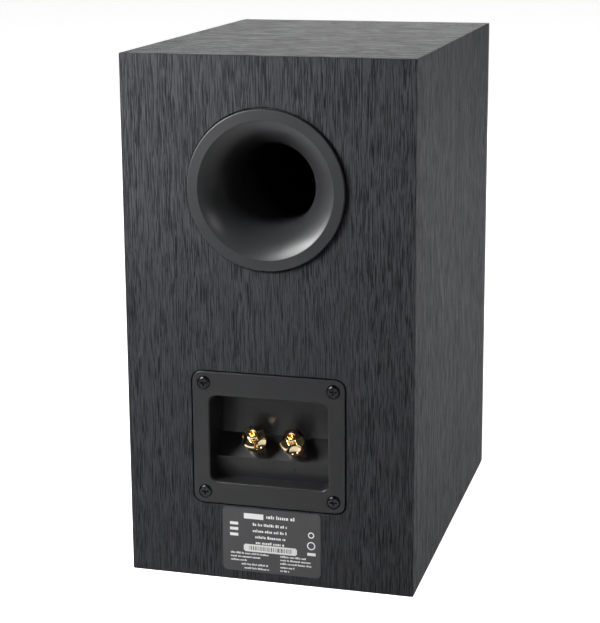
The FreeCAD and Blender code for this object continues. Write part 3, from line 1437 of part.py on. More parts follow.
def tube_along(points, radius):
    """A round lead along straight runs joined by tangent arcs, each as large as its two runs allow."""
    edges, start = [], points[0]
    for before, corner, after in zip(points, points[1:], points[2:]):
        inward, outward = (before - corner), (after - corner)
        turn = math.pi - inward.getAngle(outward)
        reach = 0.45 * min(inward.Length, outward.Length)
        entry = corner + inward.normalize() * reach
        leave = corner + outward.normalize() * reach
        bend = reach / math.tan(turn / 2)
        centre = corner + (inward + outward).normalize() * math.hypot(reach, bend)
        middle = centre + (corner - centre).normalize() * bend
        edges.append(Part.LineSegment(start, entry).toShape())
        edges.append(Part.Arc(entry, middle, leave).toShape())
        start = leave
    edges.append(Part.LineSegment(start, points[-1]).toShape())
    path = Part.Wire(edges)
    profile = Part.Wire([Part.Circle(points[0], points[1] - points[0], radius).toShape()])
    return path.makePipeShell([profile], True, False)


def lead_pair(label, runs):
    """Two leads as one node; each run is a list of points whose coordinates are formulas."""
    solids = []
    for run in runs:
        points = [Vector(number(x), number(y), number(z)) for x, y, z in run]
        solids.append(tube_along(points, number("lead_r")))
    made = doc.addObject("Part::Feature", label)
    made.Shape = Part.makeCompound(solids)
    node(made, label)


def leads():
    """The leads: posts to board, board to woofer and board to tweeter, each soldered at both ends."""
    down = "lead_end_gap"
    tag_out = "(seat_thick + tag_thick + lead_r + lead_end_gap)"
    tag_y = f"({CUP_FACE} - {SEAT_DEEP} - {tag_out} * cos(post_tilt) - (tag_long - 2) * sin(post_tilt))"
    tag_z = f"(cup_z + {SEAT_Z} - {tag_out} * sin(post_tilt) + (tag_long - 2) * cos(post_tilt))"
    pad_y = "(board_y + board_long / 2 - board_margin)"
    landing = f"({BOARD_TOP} + {down})"
    runs = []
    for side in (1, -1):
        x = f"{side} * post_pitch / 2"
        pad_x = f"{side} * post_pitch / 3"
        runs.append([
            (x, tag_y, tag_z),
            (x, f"{tag_y} - 12", f"{tag_z} - 6"),
            (x, f"{tag_y} - 15", f"({tag_z} + {landing}) / 2"),
            (pad_x, pad_y, f"{landing} + 16"),
            (pad_x, pad_y, landing),
        ])
    lead_pair("input_leads", runs)

    beside_pad = "(cab_width / 2 - wall - pad_gap - pad_thick - lead_r - lead_clear)"
    wide = f"min(board_width / 2 - board_margin / 2; {beside_pad})"
    front_pad = "(board_y - board_long / 2 + 2)"
    runs = []
    for side in (1, -1):
        x = f"{side} * 6"
        end_y = f"({FRONT} + {MAGNET_BACK} - 6)"
        foot_z = f"(woofer_z - magnet_r - lead_r - {down})"
        runs.append([
            (x, front_pad, landing),
            (x, front_pad, f"{landing} + 14"),
            (x, f"({front_pad} + {end_y}) / 2 + 4", f"{foot_z} - 9"),
            (x, end_y, foot_z),
        ])
    lead_pair("woofer_leads", runs)

    runs = []
    for side in (1, -1):
        x = f"{side} * {wide}"
        end_x = f"{side} * 8"
        end_y = f"({FRONT} + {T_YOKE_BACK} + chamber_deep + lead_r + {down})"
        runs.append([
            (x, "board_y - 12", landing),
            (x, "board_y - 12", f"{landing} + 60"),
            (f"{side} * 40", "board_y - 20", "brace_bottom - 12"),
            (f"{side} * 32", "board_y - 24", "brace_bottom + brace_thick + 20"),
            (f"{side} * 24", f"{end_y} + 26", "tweeter_z - chamber_r"),
            (end_x, end_y, "tweeter_z - 6"),
        ])
    lead_pair("tweeter_leads", runs)


def damping_sheets():
    """Fibre sheets on the side walls and under the top, clear of the port, the brace and the drivers."""
    start = f"({FRONT} + baffle_thick + {MAGNET_BACK} - magnet_thick)"
    long = f"({REAR} - wall - pad_gap - {start})"
    low = f"({BOARD_TOP} + spool_high + 6)"
    low_high = f"(brace_bottom - pad_gap - {low})"
    up = "(brace_bottom + brace_thick + pad_gap)"
    up_high = f"(cab_height - wall - pad_gap - {up})"
    for name, corner_x in (
        ("damping_left", "wall - cab_width / 2 + pad_gap"),
        ("damping_right", "cab_width / 2 - wall - pad_gap - pad_thick"),
    ):
        sheets = [
            box(f"{name}_low", ("pad_thick", long, low_high), (corner_x, start, low)),
            box(f"{name}_high", ("pad_thick", long, up_high), (corner_x, start, up)),
        ]
        made = doc.addObject("Part::Compound", name)
        made.Links = sheets
        node(made, name)
    inset = "(wall + pad_gap + pad_thick + pad_gap)"
    top = box(
        "damping_top", (f"cab_width - 2 * {inset}", long, "pad_thick"),
        (f"{inset} - cab_width / 2", start, "cab_height - wall - pad_gap - pad_thick"),
    )
    node(top, "damping_top")


# ---------------------------------------------------------------- build, check and write


def check_and_write():
    """Stops on any failed object or bad shape, then writes one STEP file for each sub-part."""
    doc.recompute()
    failed = [o.Name for o in doc.Objects if {"Invalid", "Error"} & set(o.State)]
    if failed:
        raise SystemExit(f"failed objects: {failed}")
    for thing in nodes:
        shape = thing.Shape
        if shape.isNull() or not shape.isValid() or not shape.Solids:
            raise SystemExit(f"bad shape: {thing.Label}")
    os.makedirs("parts", exist_ok=True)
    for thing in nodes:
        thing.Shape.exportStep(os.path.join("parts", f"{thing.Label}.step"))
    print(len(nodes), "nodes,", sum(len(n.Shape.Solids) for n in nodes), "solids")


envelope = outer_envelope()
panels()
front_baffle()
window_brace()
port()
terminal_cup()
cup_gasket()
cup_screws()
binding_posts()
rating_label()
woofer()
tweeter()
crossover()
leads()
damping_sheets()
check_and_write()
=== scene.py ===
"""A rear-ported bookshelf loudspeaker seen from behind: its finishes, its soft parts and the studio."""
import math
import random

import bmesh
import bpy
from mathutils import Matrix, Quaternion, Vector, noise


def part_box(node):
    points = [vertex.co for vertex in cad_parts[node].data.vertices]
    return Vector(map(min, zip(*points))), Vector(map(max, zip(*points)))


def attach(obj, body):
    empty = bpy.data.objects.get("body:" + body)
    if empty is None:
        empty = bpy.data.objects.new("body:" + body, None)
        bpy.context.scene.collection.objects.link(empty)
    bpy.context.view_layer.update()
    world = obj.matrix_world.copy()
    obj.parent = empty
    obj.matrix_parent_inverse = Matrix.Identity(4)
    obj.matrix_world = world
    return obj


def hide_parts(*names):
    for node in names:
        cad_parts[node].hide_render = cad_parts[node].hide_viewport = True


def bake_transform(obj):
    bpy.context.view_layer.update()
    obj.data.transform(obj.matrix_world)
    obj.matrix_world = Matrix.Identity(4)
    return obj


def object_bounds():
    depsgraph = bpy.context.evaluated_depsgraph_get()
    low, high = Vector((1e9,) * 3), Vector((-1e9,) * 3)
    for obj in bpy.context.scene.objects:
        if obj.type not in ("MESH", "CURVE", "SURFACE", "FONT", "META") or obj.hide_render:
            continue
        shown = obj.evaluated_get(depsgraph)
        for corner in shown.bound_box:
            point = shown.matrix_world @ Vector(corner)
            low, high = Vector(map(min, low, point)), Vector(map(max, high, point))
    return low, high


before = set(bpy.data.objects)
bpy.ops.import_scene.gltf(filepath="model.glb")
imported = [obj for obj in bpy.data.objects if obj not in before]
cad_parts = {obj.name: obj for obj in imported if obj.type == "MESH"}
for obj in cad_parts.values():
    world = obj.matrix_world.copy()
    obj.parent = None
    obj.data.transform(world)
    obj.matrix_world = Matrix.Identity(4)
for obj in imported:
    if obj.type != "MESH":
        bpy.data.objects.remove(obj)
CAD_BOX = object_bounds()

MM = 0.001
MICRON = 0.000001

# ---------------------------------------------------------------- places read from the frame


def size_of(node):
    low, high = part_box(node)
    return high - low


def middle_of(node):
    low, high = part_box(node)
    return (low + high) / 2


# ---------------------------------------------------------------- materials


class Finish:
    """A Principled shader and the nodes that feed it, in the object's own coordinates, in metres."""

    def __init__(self, name, colour, roughness, **constants):
        self.material = bpy.data.materials.new(name)
        self.material.use_nodes = True
        self.material.diffuse_color = (*colour, 1)
        tree = self.material.node_tree
        self.nodes, self.links = tree.nodes, tree.links
        self.nodes.clear()
        self.shader = self.nodes.new("ShaderNodeBsdfPrincipled")
        output = self.nodes.new("ShaderNodeOutputMaterial")
        self.links.new(self.shader.outputs["BSDF"], output.inputs["Surface"])
        self.shader.inputs["Base Color"].default_value = (*colour, 1)
        self.shader.inputs["Roughness"].default_value = roughness
        for name, value in constants.items():
            self.shader.inputs[name.replace("_", " ")].default_value = value
        self.place = self.nodes.new("ShaderNodeTexCoord").outputs["Object"]

    def feed(self, node, **inputs):
        """Sets a node's inputs by name: a socket is linked, and anything else is a constant."""
        for name, value in inputs.items():
            socket = node.inputs[name.replace("_", " ")]
            if isinstance(value, bpy.types.NodeSocket):
                self.links.new(value, socket)
            else:
                socket.default_value = value
        return node

    def stretch(self, scale, source=None):
        node = self.nodes.new("ShaderNodeMapping")
        return self.feed(node, Vector=source or self.place, Scale=scale).outputs["Vector"]

    def noise(self, scale, detail=2.0, roughness=0.5, distortion=0.0, where=None):
        node = self.nodes.new("ShaderNodeTexNoise")
        self.feed(node, Vector=where or self.place, Scale=scale, Detail=detail, Roughness=roughness)
        return self.feed(node, Distortion=distortion).outputs["Fac"]

    def cells(self, scale):
        node = self.nodes.new("ShaderNodeTexVoronoi")
        return self.feed(node, Vector=self.place, Scale=scale).outputs["Distance"]

    def waves(self, scale, direction):
        node = self.nodes.new("ShaderNodeTexWave")
        node.bands_direction = direction
        return self.feed(node, Vector=self.place, Scale=scale).outputs["Fac"]

    def combine(self, operation, first, second):
        """A Math node on two values, each a socket or a number."""
        node = self.nodes.new("ShaderNodeMath")
        node.operation = operation
        for socket, value in zip(node.inputs, (first, second)):
            if isinstance(value, bpy.types.NodeSocket):
                self.links.new(value, socket)
            else:
                socket.default_value = value
        return node.outputs["Value"]

    def span(self, source, from_low, from_high, to_low=0.0, to_high=1.0):
        """Maps a value from one range to another, and holds it inside that."""
        node = self.nodes.new("ShaderNodeMapRange")
        self.feed(node, Value=source, From_Min=from_low, From_Max=from_high)
        return self.feed(node, To_Min=to_low, To_Max=to_high).outputs["Result"]

    def colours(self, source, *stops):
        """A ramp of colours: each stop is a place from 0 to 1 and a colour."""
        node = self.nodes.new("ShaderNodeValToRGB")
        ramp = node.color_ramp
        while len(ramp.elements) < len(stops):
            ramp.elements.new(0.5)
        for element, (at, colour) in zip(ramp.elements, stops):
            element.position = at
            element.color = (*colour, 1)
        return self.feed(node, Fac=source).outputs["Color"]

    def tint(self, colour, factor, amount):
        """A colour made darker or lighter by a value from 0 to 1."""
        node = self.nodes.new("ShaderNodeHueSaturation")
        self.feed(node, Color=colour, Value=self.span(factor, 0, 1, 1 - amount, 1 + amount))
        return node.outputs["Color"]

    def bump(self, height, distance, strength=1.0):
        node = self.nodes.new("ShaderNodeBump")
        self.feed(node, Height=height, Distance=distance, Strength=strength)
        self.links.new(node.outputs["Normal"], self.shader.inputs["Normal"])

    def set(self, **sources):
        self.feed(self.shader, **sources)


def black_ash(name, along):
    """Embossed black ash vinyl: pores as dark streaks along the grain, over a satin film."""
    squeeze = {"x": (0.022, 1, 1), "z": (1, 1, 0.022)}[along]
    finish = Finish(name, (0.024, 0.025, 0.028), 0.5, Specular_IOR_Level=0.22)
    bend = finish.noise(7, 1.0, where=finish.stretch({"x": (0.5, 1, 1), "z": (1, 1, 0.5)}[along]))
    offset = finish.nodes.new("ShaderNodeVectorMath")
    offset.operation = "MULTIPLY_ADD"
    finish.links.new(bend, offset.inputs[0])
    offset.inputs[1].default_value = {"x": (0, 0.006, 0.006), "z": (0.006, 0.006, 0)}[along]
    finish.links.new(finish.place, offset.inputs[2])
    grain = finish.stretch(squeeze, source=offset.outputs["Vector"])
    fine = finish.noise(3100, 2.0, 0.6, where=grain)
    broad = finish.noise(1900, 2.0, 0.6, where=grain)
    bands = finish.noise(110, 2.0, 0.5, where=grain)
    patches = finish.span(bands, 0.30, 0.55, 0.55, 1.0)
    pores = finish.combine("MULTIPLY", finish.span(fine, 0.47, 0.56), patches)
    veins = finish.span(broad, 0.54, 0.64, 0, 0.95)
    streaks = finish.combine("MAXIMUM", pores, veins)
    colour = finish.colours(
        streaks, (0.0, (0.036, 0.037, 0.042)), (0.5, (0.016, 0.0165, 0.019)), (1.0, (0.002, 0.002, 0.003))
    )
    finish.set(Base_Color=finish.tint(colour, bands, 0.25))
    finish.set(Roughness=finish.span(streaks, 0, 1, 0.44, 0.8))
    finish.bump(finish.span(streaks, 0, 1, 1, 0), 90 * MICRON, 0.9)
    return finish.material


def painted_board(name, colour):
    """Sprayed satin paint with a faint orange peel."""
    finish = Finish(name, colour, 0.42, Specular_IOR_Level=0.4)
    peel = finish.noise(900, 2.0)
    finish.set(Roughness=finish.span(finish.noise(60, 3.0), 0.3, 0.7, 0.36, 0.48))
    finish.bump(peel, 12 * MICRON, 0.5)
    return finish.material


def bare_board(name):
    """Fibreboard with its fine felted flecks."""
    finish = Finish(name, (0.42, 0.29, 0.17), 0.85)
    fleck = finish.noise(1700, 4.0, 0.7)
    finish.set(Base_Color=finish.colours(fleck, (0.3, (0.27, 0.17, 0.09)), (0.7, (0.52, 0.38, 0.24))))
    finish.bump(fleck, 80 * MICRON, 0.6)
    return finish.material


def moulded(name, colour, roughness, grain=1500, depth=14, spread=0.06, **constants):
    """Moulded plastic: a spark-eroded grain, with slightly uneven gloss."""
    finish = Finish(name, colour, roughness, **constants)
    texture = finish.noise(grain, 3.0, 0.6)
    cloud = finish.noise(38, 3.0, 0.55)
    finish.set(Base_Color=finish.tint(finish.colours(texture, (0.35, colour), (0.7, colour)), texture, 0.10))
    finish.set(Roughness=finish.span(cloud, 0.3, 0.7, roughness - spread, roughness + spread))
    finish.bump(texture, depth * MICRON, 0.45)
    return finish.material


def foam(name):
    """Closed-cell foam with small open cells at its cut edge."""
    finish = Finish(name, (0.012, 0.012, 0.013), 0.9, Specular_IOR_Level=0.2)
    cell = finish.cells(1400)
    finish.set(Base_Color=finish.colours(cell, (0.0, (0.006, 0.006, 0.006)), (0.6, (0.022, 0.022, 0.023))))
    finish.bump(cell, 90 * MICRON, 0.8)
    return finish.material


def metal(name, colour, roughness, spread=0.05, scratch=0.25, grain=700, depth=3, **constants):
    """Plated or bare metal with soft wear in its gloss and a few fine lines."""
    finish = Finish(name, colour, roughness, Metallic=1.0, **constants)
    cloud = finish.noise(260, 4.0, 0.6)
    lines = finish.noise(grain, 2.0, 0.5, where=finish.stretch((1, 1, 0.08)))
    finish.set(Base_Color=finish.tint(finish.colours(cloud, (0.3, colour), (0.8, colour)), cloud, 0.08))
    uneven = finish.combine("ADD", cloud, finish.combine("MULTIPLY", lines, scratch))
    finish.set(Roughness=finish.span(uneven, 0.3, 0.9, max(0.03, roughness - spread), roughness + spread))
    finish.bump(lines, depth * MICRON, 0.3)
    return finish.material


def glossy(name, colour, roughness=0.16):
    """A clear-coated coloured ring, with faint dust in its gloss."""
    finish = Finish(name, colour, roughness, Coat_Weight=0.6, Coat_Roughness=0.06)
    cloud = finish.noise(420, 3.0)
    finish.set(Base_Color=finish.tint(finish.colours(cloud, (0.3, colour), (0.8, colour)), cloud, 0.05))
    finish.set(Roughness=finish.span(cloud, 0.3, 0.7, roughness - 0.04, roughness + 0.06))
    finish.bump(cloud, 4 * MICRON, 0.3)
    return finish.material


def label_film(name, colour, roughness):
    """Matt printed film with a fine tooth."""
    finish = Finish(name, colour, roughness)
    tooth = finish.noise(2600, 2.0, 0.6)
    cloud = finish.noise(120, 2.0)
    finish.set(Base_Color=finish.tint(finish.colours(tooth, (0.3, colour), (0.8, colour)), cloud, 0.10))
    finish.set(Roughness=finish.span(tooth, 0.3, 0.7, roughness - 0.06, roughness + 0.06))
    finish.bump(tooth, 6 * MICRON, 0.4)
    return finish.material


def rubber(name):
    """Soft black rubber with a dull bloom."""
    finish = Finish(name, (0.018, 0.018, 0.019), 0.55, Specular_IOR_Level=0.4)
    skin = finish.noise(1900, 2.0)
    bloom = finish.noise(70, 4.0, 0.6)
    finish.set(Base_Color=finish.colours(bloom, (0.35, (0.014, 0.014, 0.015)), (0.75, (0.028, 0.028, 0.029))))
    finish.set(Roughness=finish.span(bloom, 0.3, 0.7, 0.48, 0.64))
    finish.bump(skin, 10 * MICRON, 0.4)
    return finish.material


def filled_cone(name, roughness):
    """Mineral-filled polypropylene: a dark body with small bright flakes."""
    finish = Finish(name, (0.035, 0.036, 0.039), roughness)
    flake = finish.cells(1100)
    cloud = finish.noise(45, 3.0)
    body = finish.colours(
        flake, (0.0, (0.075, 0.077, 0.083)), (0.16, (0.034, 0.035, 0.038)), (1.0, (0.030, 0.031, 0.034))
    )
    finish.set(Base_Color=finish.tint(body, cloud, 0.12))
    finish.set(Roughness=finish.span(flake, 0.0, 0.25, roughness - 0.12, roughness))
    finish.bump(finish.noise(500, 2.0), 15 * MICRON, 0.4)
    return finish.material


def woven(name, light, dark, threads, roughness, depth, **constants):
    """A plain weave of crossing threads, seen along Y."""
    finish = Finish(name, light, roughness, **constants)
    over = finish.waves(threads, "X")
    under = finish.waves(threads, "Z")
    weave = finish.combine("MULTIPLY", over, under)
    uneven = finish.combine("ADD", weave, finish.span(finish.noise(400, 3.0), 0.3, 0.7, -0.12, 0.12))
    finish.set(Base_Color=finish.colours(uneven, (0.05, dark), (0.6, light)))
    finish.set(Roughness=finish.span(uneven, 0, 1, min(1.0, roughness + 0.1), roughness - 0.08))
    finish.bump(weave, depth * MICRON, 0.6)
    return finish.material


def ferrite(name):
    """Sintered ferrite with small chips and a grey bloom."""
    finish = Finish(name, (0.05, 0.05, 0.052), 0.6)
    chip = finish.noise(420, 5.0, 0.65)
    finish.set(Base_Color=finish.colours(chip, (0.35, (0.03, 0.03, 0.032)), (0.7, (0.085, 0.085, 0.09))))
    finish.set(Roughness=finish.span(chip, 0.3, 0.7, 0.5, 0.75))
    finish.bump(chip, 60 * MICRON, 0.5)
    return finish.material


def enamelled_copper(name):
    """Turns of enamelled wire laid side by side."""
    finish = Finish(name, (0.55, 0.2, 0.08), 0.28, Metallic=1.0)
    turns = finish.waves(330, "Z")
    finish.set(Base_Color=finish.colours(turns, (0.0, (0.16, 0.045, 0.015)), (0.5, (0.6, 0.23, 0.09))))
    finish.set(Roughness=finish.span(finish.noise(300, 3.0), 0.3, 0.7, 0.2, 0.38))
    finish.bump(turns, 120 * MICRON, 0.8)
    return finish.material


def circuit_board(name):
    """Glass-fibre laminate under green resin, with its weave showing."""
    finish = Finish(name, (0.03, 0.12, 0.04), 0.35)
    weave = finish.combine("MULTIPLY", finish.waves(300, "X"), finish.waves(300, "Y"))
    finish.set(Base_Color=finish.colours(weave, (0.1, (0.02, 0.085, 0.03)), (0.8, (0.05, 0.17, 0.07))))
    finish.set(Roughness=finish.span(finish.noise(80, 3.0), 0.3, 0.7, 0.28, 0.42))
    finish.bump(weave, 20 * MICRON, 0.4)
    return finish.material


def cement(name):
    """Cast white cement with pits."""
    finish = Finish(name, (0.72, 0.71, 0.68), 0.8)
    pits = finish.noise(900, 5.0, 0.7)
    finish.set(Base_Color=finish.colours(pits, (0.3, (0.5, 0.49, 0.46)), (0.55, (0.76, 0.75, 0.72))))
    finish.bump(pits, 120 * MICRON, 0.6)
    return finish.material


def wadding(name):
    """Loose polyester fibre."""
    finish = Finish(name, (0.75, 0.75, 0.74), 0.95, Sheen_Weight=0.4)
    fibre = finish.noise(900, 6.0, 0.75, 1.2)
    finish.set(Base_Color=finish.colours(fibre, (0.25, (0.5, 0.5, 0.49)), (0.65, (0.86, 0.86, 0.85))))
    finish.bump(fibre, 700 * MICRON, 0.8)
    return finish.material


VINYL = black_ash("black_ash_upright", "z")
VINYL_ACROSS = black_ash("black_ash_across", "x")
PORT = moulded("port_plastic", (0.021, 0.0214, 0.023), 0.35, grain=1700, depth=9, Specular_IOR_Level=0.42)
CUP = moulded(
    "cup_plastic", (0.0135, 0.0138, 0.015), 0.35, grain=1900, depth=7, spread=0.05, Specular_IOR_Level=0.36
)
SCREW = metal("black_oxide", (0.035, 0.035, 0.038), 0.20, spread=0.06)
GOLD = metal("gold_plate", (0.93, 0.75, 0.47), 0.07, spread=0.02, scratch=0.15, depth=1)
RED = glossy("red_ring", (0.95, 0.003, 0.003))
BLACK = glossy("black_ring", (0.012, 0.012, 0.013))
FOAM = foam("closed_cell_foam")
SATIN = moulded("satin_trim", (0.022, 0.022, 0.024), 0.38, grain=1200, depth=8)
CONE = filled_cone("cone_polypropylene", 0.48)
CAP = filled_cone("cap_polypropylene", 0.36)
RUBBER = rubber("surround_rubber")
SILK = woven("dome_silk", (0.035, 0.035, 0.04), (0.008, 0.008, 0.01), 420, 0.62, 60, Sheen_Weight=0.25)
SPIDER = woven("spider_cloth", (0.55, 0.36, 0.14), (0.24, 0.14, 0.05), 260, 0.8, 120)
ZINC = metal("zinc_plate", (0.62, 0.62, 0.63), 0.32, spread=0.1, scratch=0.6)
TIN = metal("tin_plate", (0.72, 0.70, 0.66), 0.26)
FOIL = metal("former_foil", (0.75, 0.75, 0.76), 0.3)
BASKET = moulded("basket_paint", (0.024, 0.024, 0.026), 0.45, grain=700, depth=40)
FERRITE = ferrite("ferrite")
COPPER = enamelled_copper("enamelled_copper")
BOARD = circuit_board("circuit_board")
BOBBIN = moulded("bobbin_plastic", (0.06, 0.06, 0.062), 0.5)
CAPACITOR = moulded("capacitor_film", (0.62, 0.44, 0.05), 0.32, grain=200, depth=30)
SLEEVE = moulded("lead_sleeve", (0.05, 0.05, 0.052), 0.42)
WADDING = wadding("polyester_wadding")

FINISHES = {
    VINYL: ("rear_panel", "left_panel", "right_panel"),
    VINYL_ACROSS: ("top_panel", "bottom_panel"),
    painted_board("baffle_paint", (0.018, 0.018, 0.019)): ("front_baffle",),
    bare_board("fibreboard"): ("window_brace",),
    PORT: ("port_flare", "port_tube", "port_inner_flare"),
    CUP: ("terminal_cup",),
    FOAM: ("port_gasket", "cup_gasket", "woofer_gasket", "tweeter_gasket"),
    SCREW: ("cup_screws", "woofer_screws", "tweeter_screws", "board_screws"),
    GOLD: ("negative_post_stud", "positive_post_stud", "negative_post_knob", "positive_post_knob"),
    RED: ("positive_clamp_ring",),
    BLACK: ("negative_clamp_ring",),
    ZINC: ("post_nuts", "woofer_top_plate", "woofer_yoke", "tweeter_top_plate", "tweeter_yoke"),
    TIN: ("post_solder_tags",),
    label_film("label_film", (0.048, 0.048, 0.050), 0.5): ("rating_label",),
    BASKET: ("woofer_basket",),
    SATIN: ("woofer_trim_ring", "tweeter_faceplate"),
    CONE: ("woofer_cone",),
    CAP: ("woofer_dust_cap",),
    FOIL: ("woofer_coil_former",),
    COPPER: ("woofer_voice_coil", "tweeter_voice_coil", "inductor_windings"),
    FERRITE: ("woofer_magnet", "tweeter_magnet"),
    SILK: ("tweeter_dome",),
    BOBBIN: ("tweeter_rear_chamber", "board_standoffs", "inductor_bobbins"),
    BOARD: ("crossover_board",),
    CAPACITOR: ("capacitors",),
    cement("cast_cement"): ("resistors",),
    SLEEVE: ("input_leads", "woofer_leads", "tweeter_leads"),
}


def wear(thing, material):
    """Gives an object one material in every slot."""
    slots = thing.data.materials
    for index in range(len(slots)):
        slots[index] = material
    if not slots:
        slots.append(material)


for material, names in FINISHES.items():
    for name in names:
        wear(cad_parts[name], material)

# ---------------------------------------------------------------- mesh pieces


def piece(name, mesh, body, material, stands_for=()):
    """Makes an object of a bmesh, in the row frame, hangs it on the body it rides on and hides the parts it
    stands for.
    """
    data = bpy.data.meshes.new(name)
    mesh.normal_update()
    mesh.to_mesh(data)
    mesh.free()
    thing = bpy.data.objects.new(name, data)
    bpy.context.scene.collection.objects.link(thing)
    wear(thing, material)
    data.polygons.foreach_set("use_smooth", [True] * len(data.polygons))
    data.set_sharp_from_angle(angle=math.radians(38))
    if isinstance(body, str):
        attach(thing, body)
    if stands_for:
        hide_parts(*stands_for)
    return thing


def arch(from_r, to_r, foot, rise, steps):
    """Points (radius, y) over a half roll, from one foot to the other."""
    middle, half = (from_r + to_r) / 2, (to_r - from_r) / 2
    angles = [math.pi * k / steps for k in range(steps + 1)]
    return [(middle - half * math.cos(a), foot - rise * math.sin(a)) for a in angles]


def sector(outline, axis_x, axis_z, start, finish, steps):
    """A closed piece of a turned ring: the outline goes round Y from one angle to another."""
    mesh = bmesh.new()
    rings = []
    for k in range(steps + 1):
        angle = start + (finish - start) * k / steps
        across, up = math.cos(angle), math.sin(angle)
        rings.append([mesh.verts.new((axis_x + r * across, y, axis_z + r * up)) for r, y in outline])
    count = len(outline)
    for here, there in zip(rings, rings[1:]):
        for k in range(count):
            mesh.faces.new((here[k], here[(k + 1) % count], there[(k + 1) % count], there[k]))
    half = count // 2
    for ring, flip in ((rings[0], False), (rings[-1], True)):
        for k in range(half - 1):
            quad = (ring[k], ring[count - 1 - k], ring[count - 2 - k], ring[k + 1])
            mesh.faces.new(tuple(reversed(quad)) if flip else quad)
    bmesh.ops.recalc_face_normals(mesh, faces=mesh.faces)
    return mesh


def flexing_ring(node, material, front, thickness, count, steps):
    """A soft ring between a moving body and the cabinet, built as closed sectors round its axis."""
    middle = middle_of(node)
    outline = front + [(r, y + thickness) for r, y in reversed(front)]
    share = 2 * math.pi / count
    for k in range(count):
        mesh = sector(outline, middle.x, middle.z, k * share, (k + 1) * share, steps)
        part = piece(f"{node}_{k + 1:02d}", mesh, None, material, (node,))
        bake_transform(part)


def woofer_surround():
    """The half roll between the cone's rim and the basket."""
    thickness, lip = 0.6 * MM, 4 * MM
    low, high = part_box("woofer_surround")
    outer = size_of("woofer_surround").x / 2
    roll_out, roll_in = outer - lip, size_of("woofer_cone").x / 2
    foot = high.y - thickness
    front = [(roll_in - lip, foot), (roll_in - lip / 2, foot)]
    front += arch(roll_in, roll_out, foot, foot - low.y, 18)
    front += [(roll_out + lip / 2, foot), (outer, foot)]
    flexing_ring(
        "woofer_surround", RUBBER,
        front, thickness, count=36, steps=5,
    )


def woofer_spider():
    """The corrugated cloth disc that centres the voice coil."""
    thickness, waves = 0.5 * MM, 5
    low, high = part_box("woofer_spider")
    wave = (high.y - low.y - thickness) / 2
    outer, inner = size_of("woofer_spider").x / 2, size_of("woofer_coil_former").x / 2
    ledge = 3 * wave
    level = (low.y + high.y - thickness) / 2
    begin, finish = inner + ledge / 3, outer - ledge
    per_wave = 8
    front = [(inner, level)]
    for k in range(waves * per_wave + 1):
        share = k / (waves * per_wave)
        front.append((begin + (finish - begin) * share, level + wave * math.sin(math.pi * waves * share)))
    front.append((outer, level))
    flexing_ring(
        "woofer_spider", SPIDER,
        front, thickness, count=12, steps=10,
    )


def tweeter_suspension():
    """The coated cloth half roll round the dome."""
    thickness = 0.35 * MM
    low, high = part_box("tweeter_suspension")
    outer, dome = size_of("tweeter_suspension").x / 2, size_of("tweeter_dome").x / 2
    foot = high.y - thickness
    flat = 1.9 * MM
    front = [(dome - 2 * thickness, foot), (dome - thickness, foot)]
    front += arch(dome, outer - flat, foot, foot - low.y, 12)
    front += [(outer, foot)]
    flexing_ring(
        "tweeter_suspension", SILK,
        front, thickness, count=8, steps=12,
    )


def lumpy_pad(name, low, high, node, seed):
    """A sheet of fibre wadding: a soft-edged slab whose faces rise and dip, inside its space."""
    cell, soft, dip = 6 * MM, 7 * MM, 1.6 * MM
    size = high - low
    counts = [max(3, round(extent / cell)) for extent in size]
    mesh = bmesh.new()
    made = {}

    def corner(i, j, k):
        """The vertex at a step of the grid on the slab's skin, pulled in at the rims and dimpled."""
        if (i, j, k) not in made:
            spot = Vector(low[a] + size[a] * (i, j, k)[a] / counts[a] for a in range(3))
            core = Vector(min(max(spot[a], low[a] + soft), high[a] - soft) for a in range(3))
            out = spot - core
            if out.length > 0:
                depth = noise.noise(spot * 60 + Vector((seed, 0, 0))) * 0.5 + 0.5
                fine = noise.noise(spot * 190 + Vector((0, seed, 0))) * 0.5 + 0.5
                spot = core + out.normalized() * (soft - dip * (0.7 * depth + 0.3 * fine))
            made[i, j, k] = mesh.verts.new(spot)
        return made[i, j, k]

    for axis in range(3):
        u, v = (axis + 1) % 3, (axis + 2) % 3
        for side in (0, counts[axis]):
            for a in range(counts[u]):
                for b in range(counts[v]):
                    square = []
                    for da, db in ((0, 0), (1, 0), (1, 1), (0, 1)):
                        step = [0, 0, 0]
                        step[axis], step[u], step[v] = side, a + da, b + db
                        square.append(corner(*step))
                    mesh.faces.new(square)
    bmesh.ops.recalc_face_normals(mesh, faces=mesh.faces)
    pad = piece(name, mesh, "cabinet", WADDING, (node,))
    rounding = pad.modifiers.new("smooth", "SUBSURF")
    rounding.levels = rounding.render_levels = 1


def damping():
    """Wadding on both side walls, below and above the brace, and under the top panel."""
    brace_low, brace_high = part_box("window_brace")
    gap = 0.3 * MM
    for node, seed in (("damping_left", 3), ("damping_right", 11)):
        low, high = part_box(node)
        lumpy_pad(f"{node}_low", low, Vector((high.x, high.y, brace_low.z - gap)), node, seed)
        lumpy_pad(f"{node}_high", Vector((low.x, low.y, brace_high.z + gap)), high, node, seed + 5)
    lumpy_pad("damping_top_sheet", *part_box("damping_top"), "damping_top", 23)


# ---------------------------------------------------------------- edges of the fittings

PORT_RING = 6.7 * MM


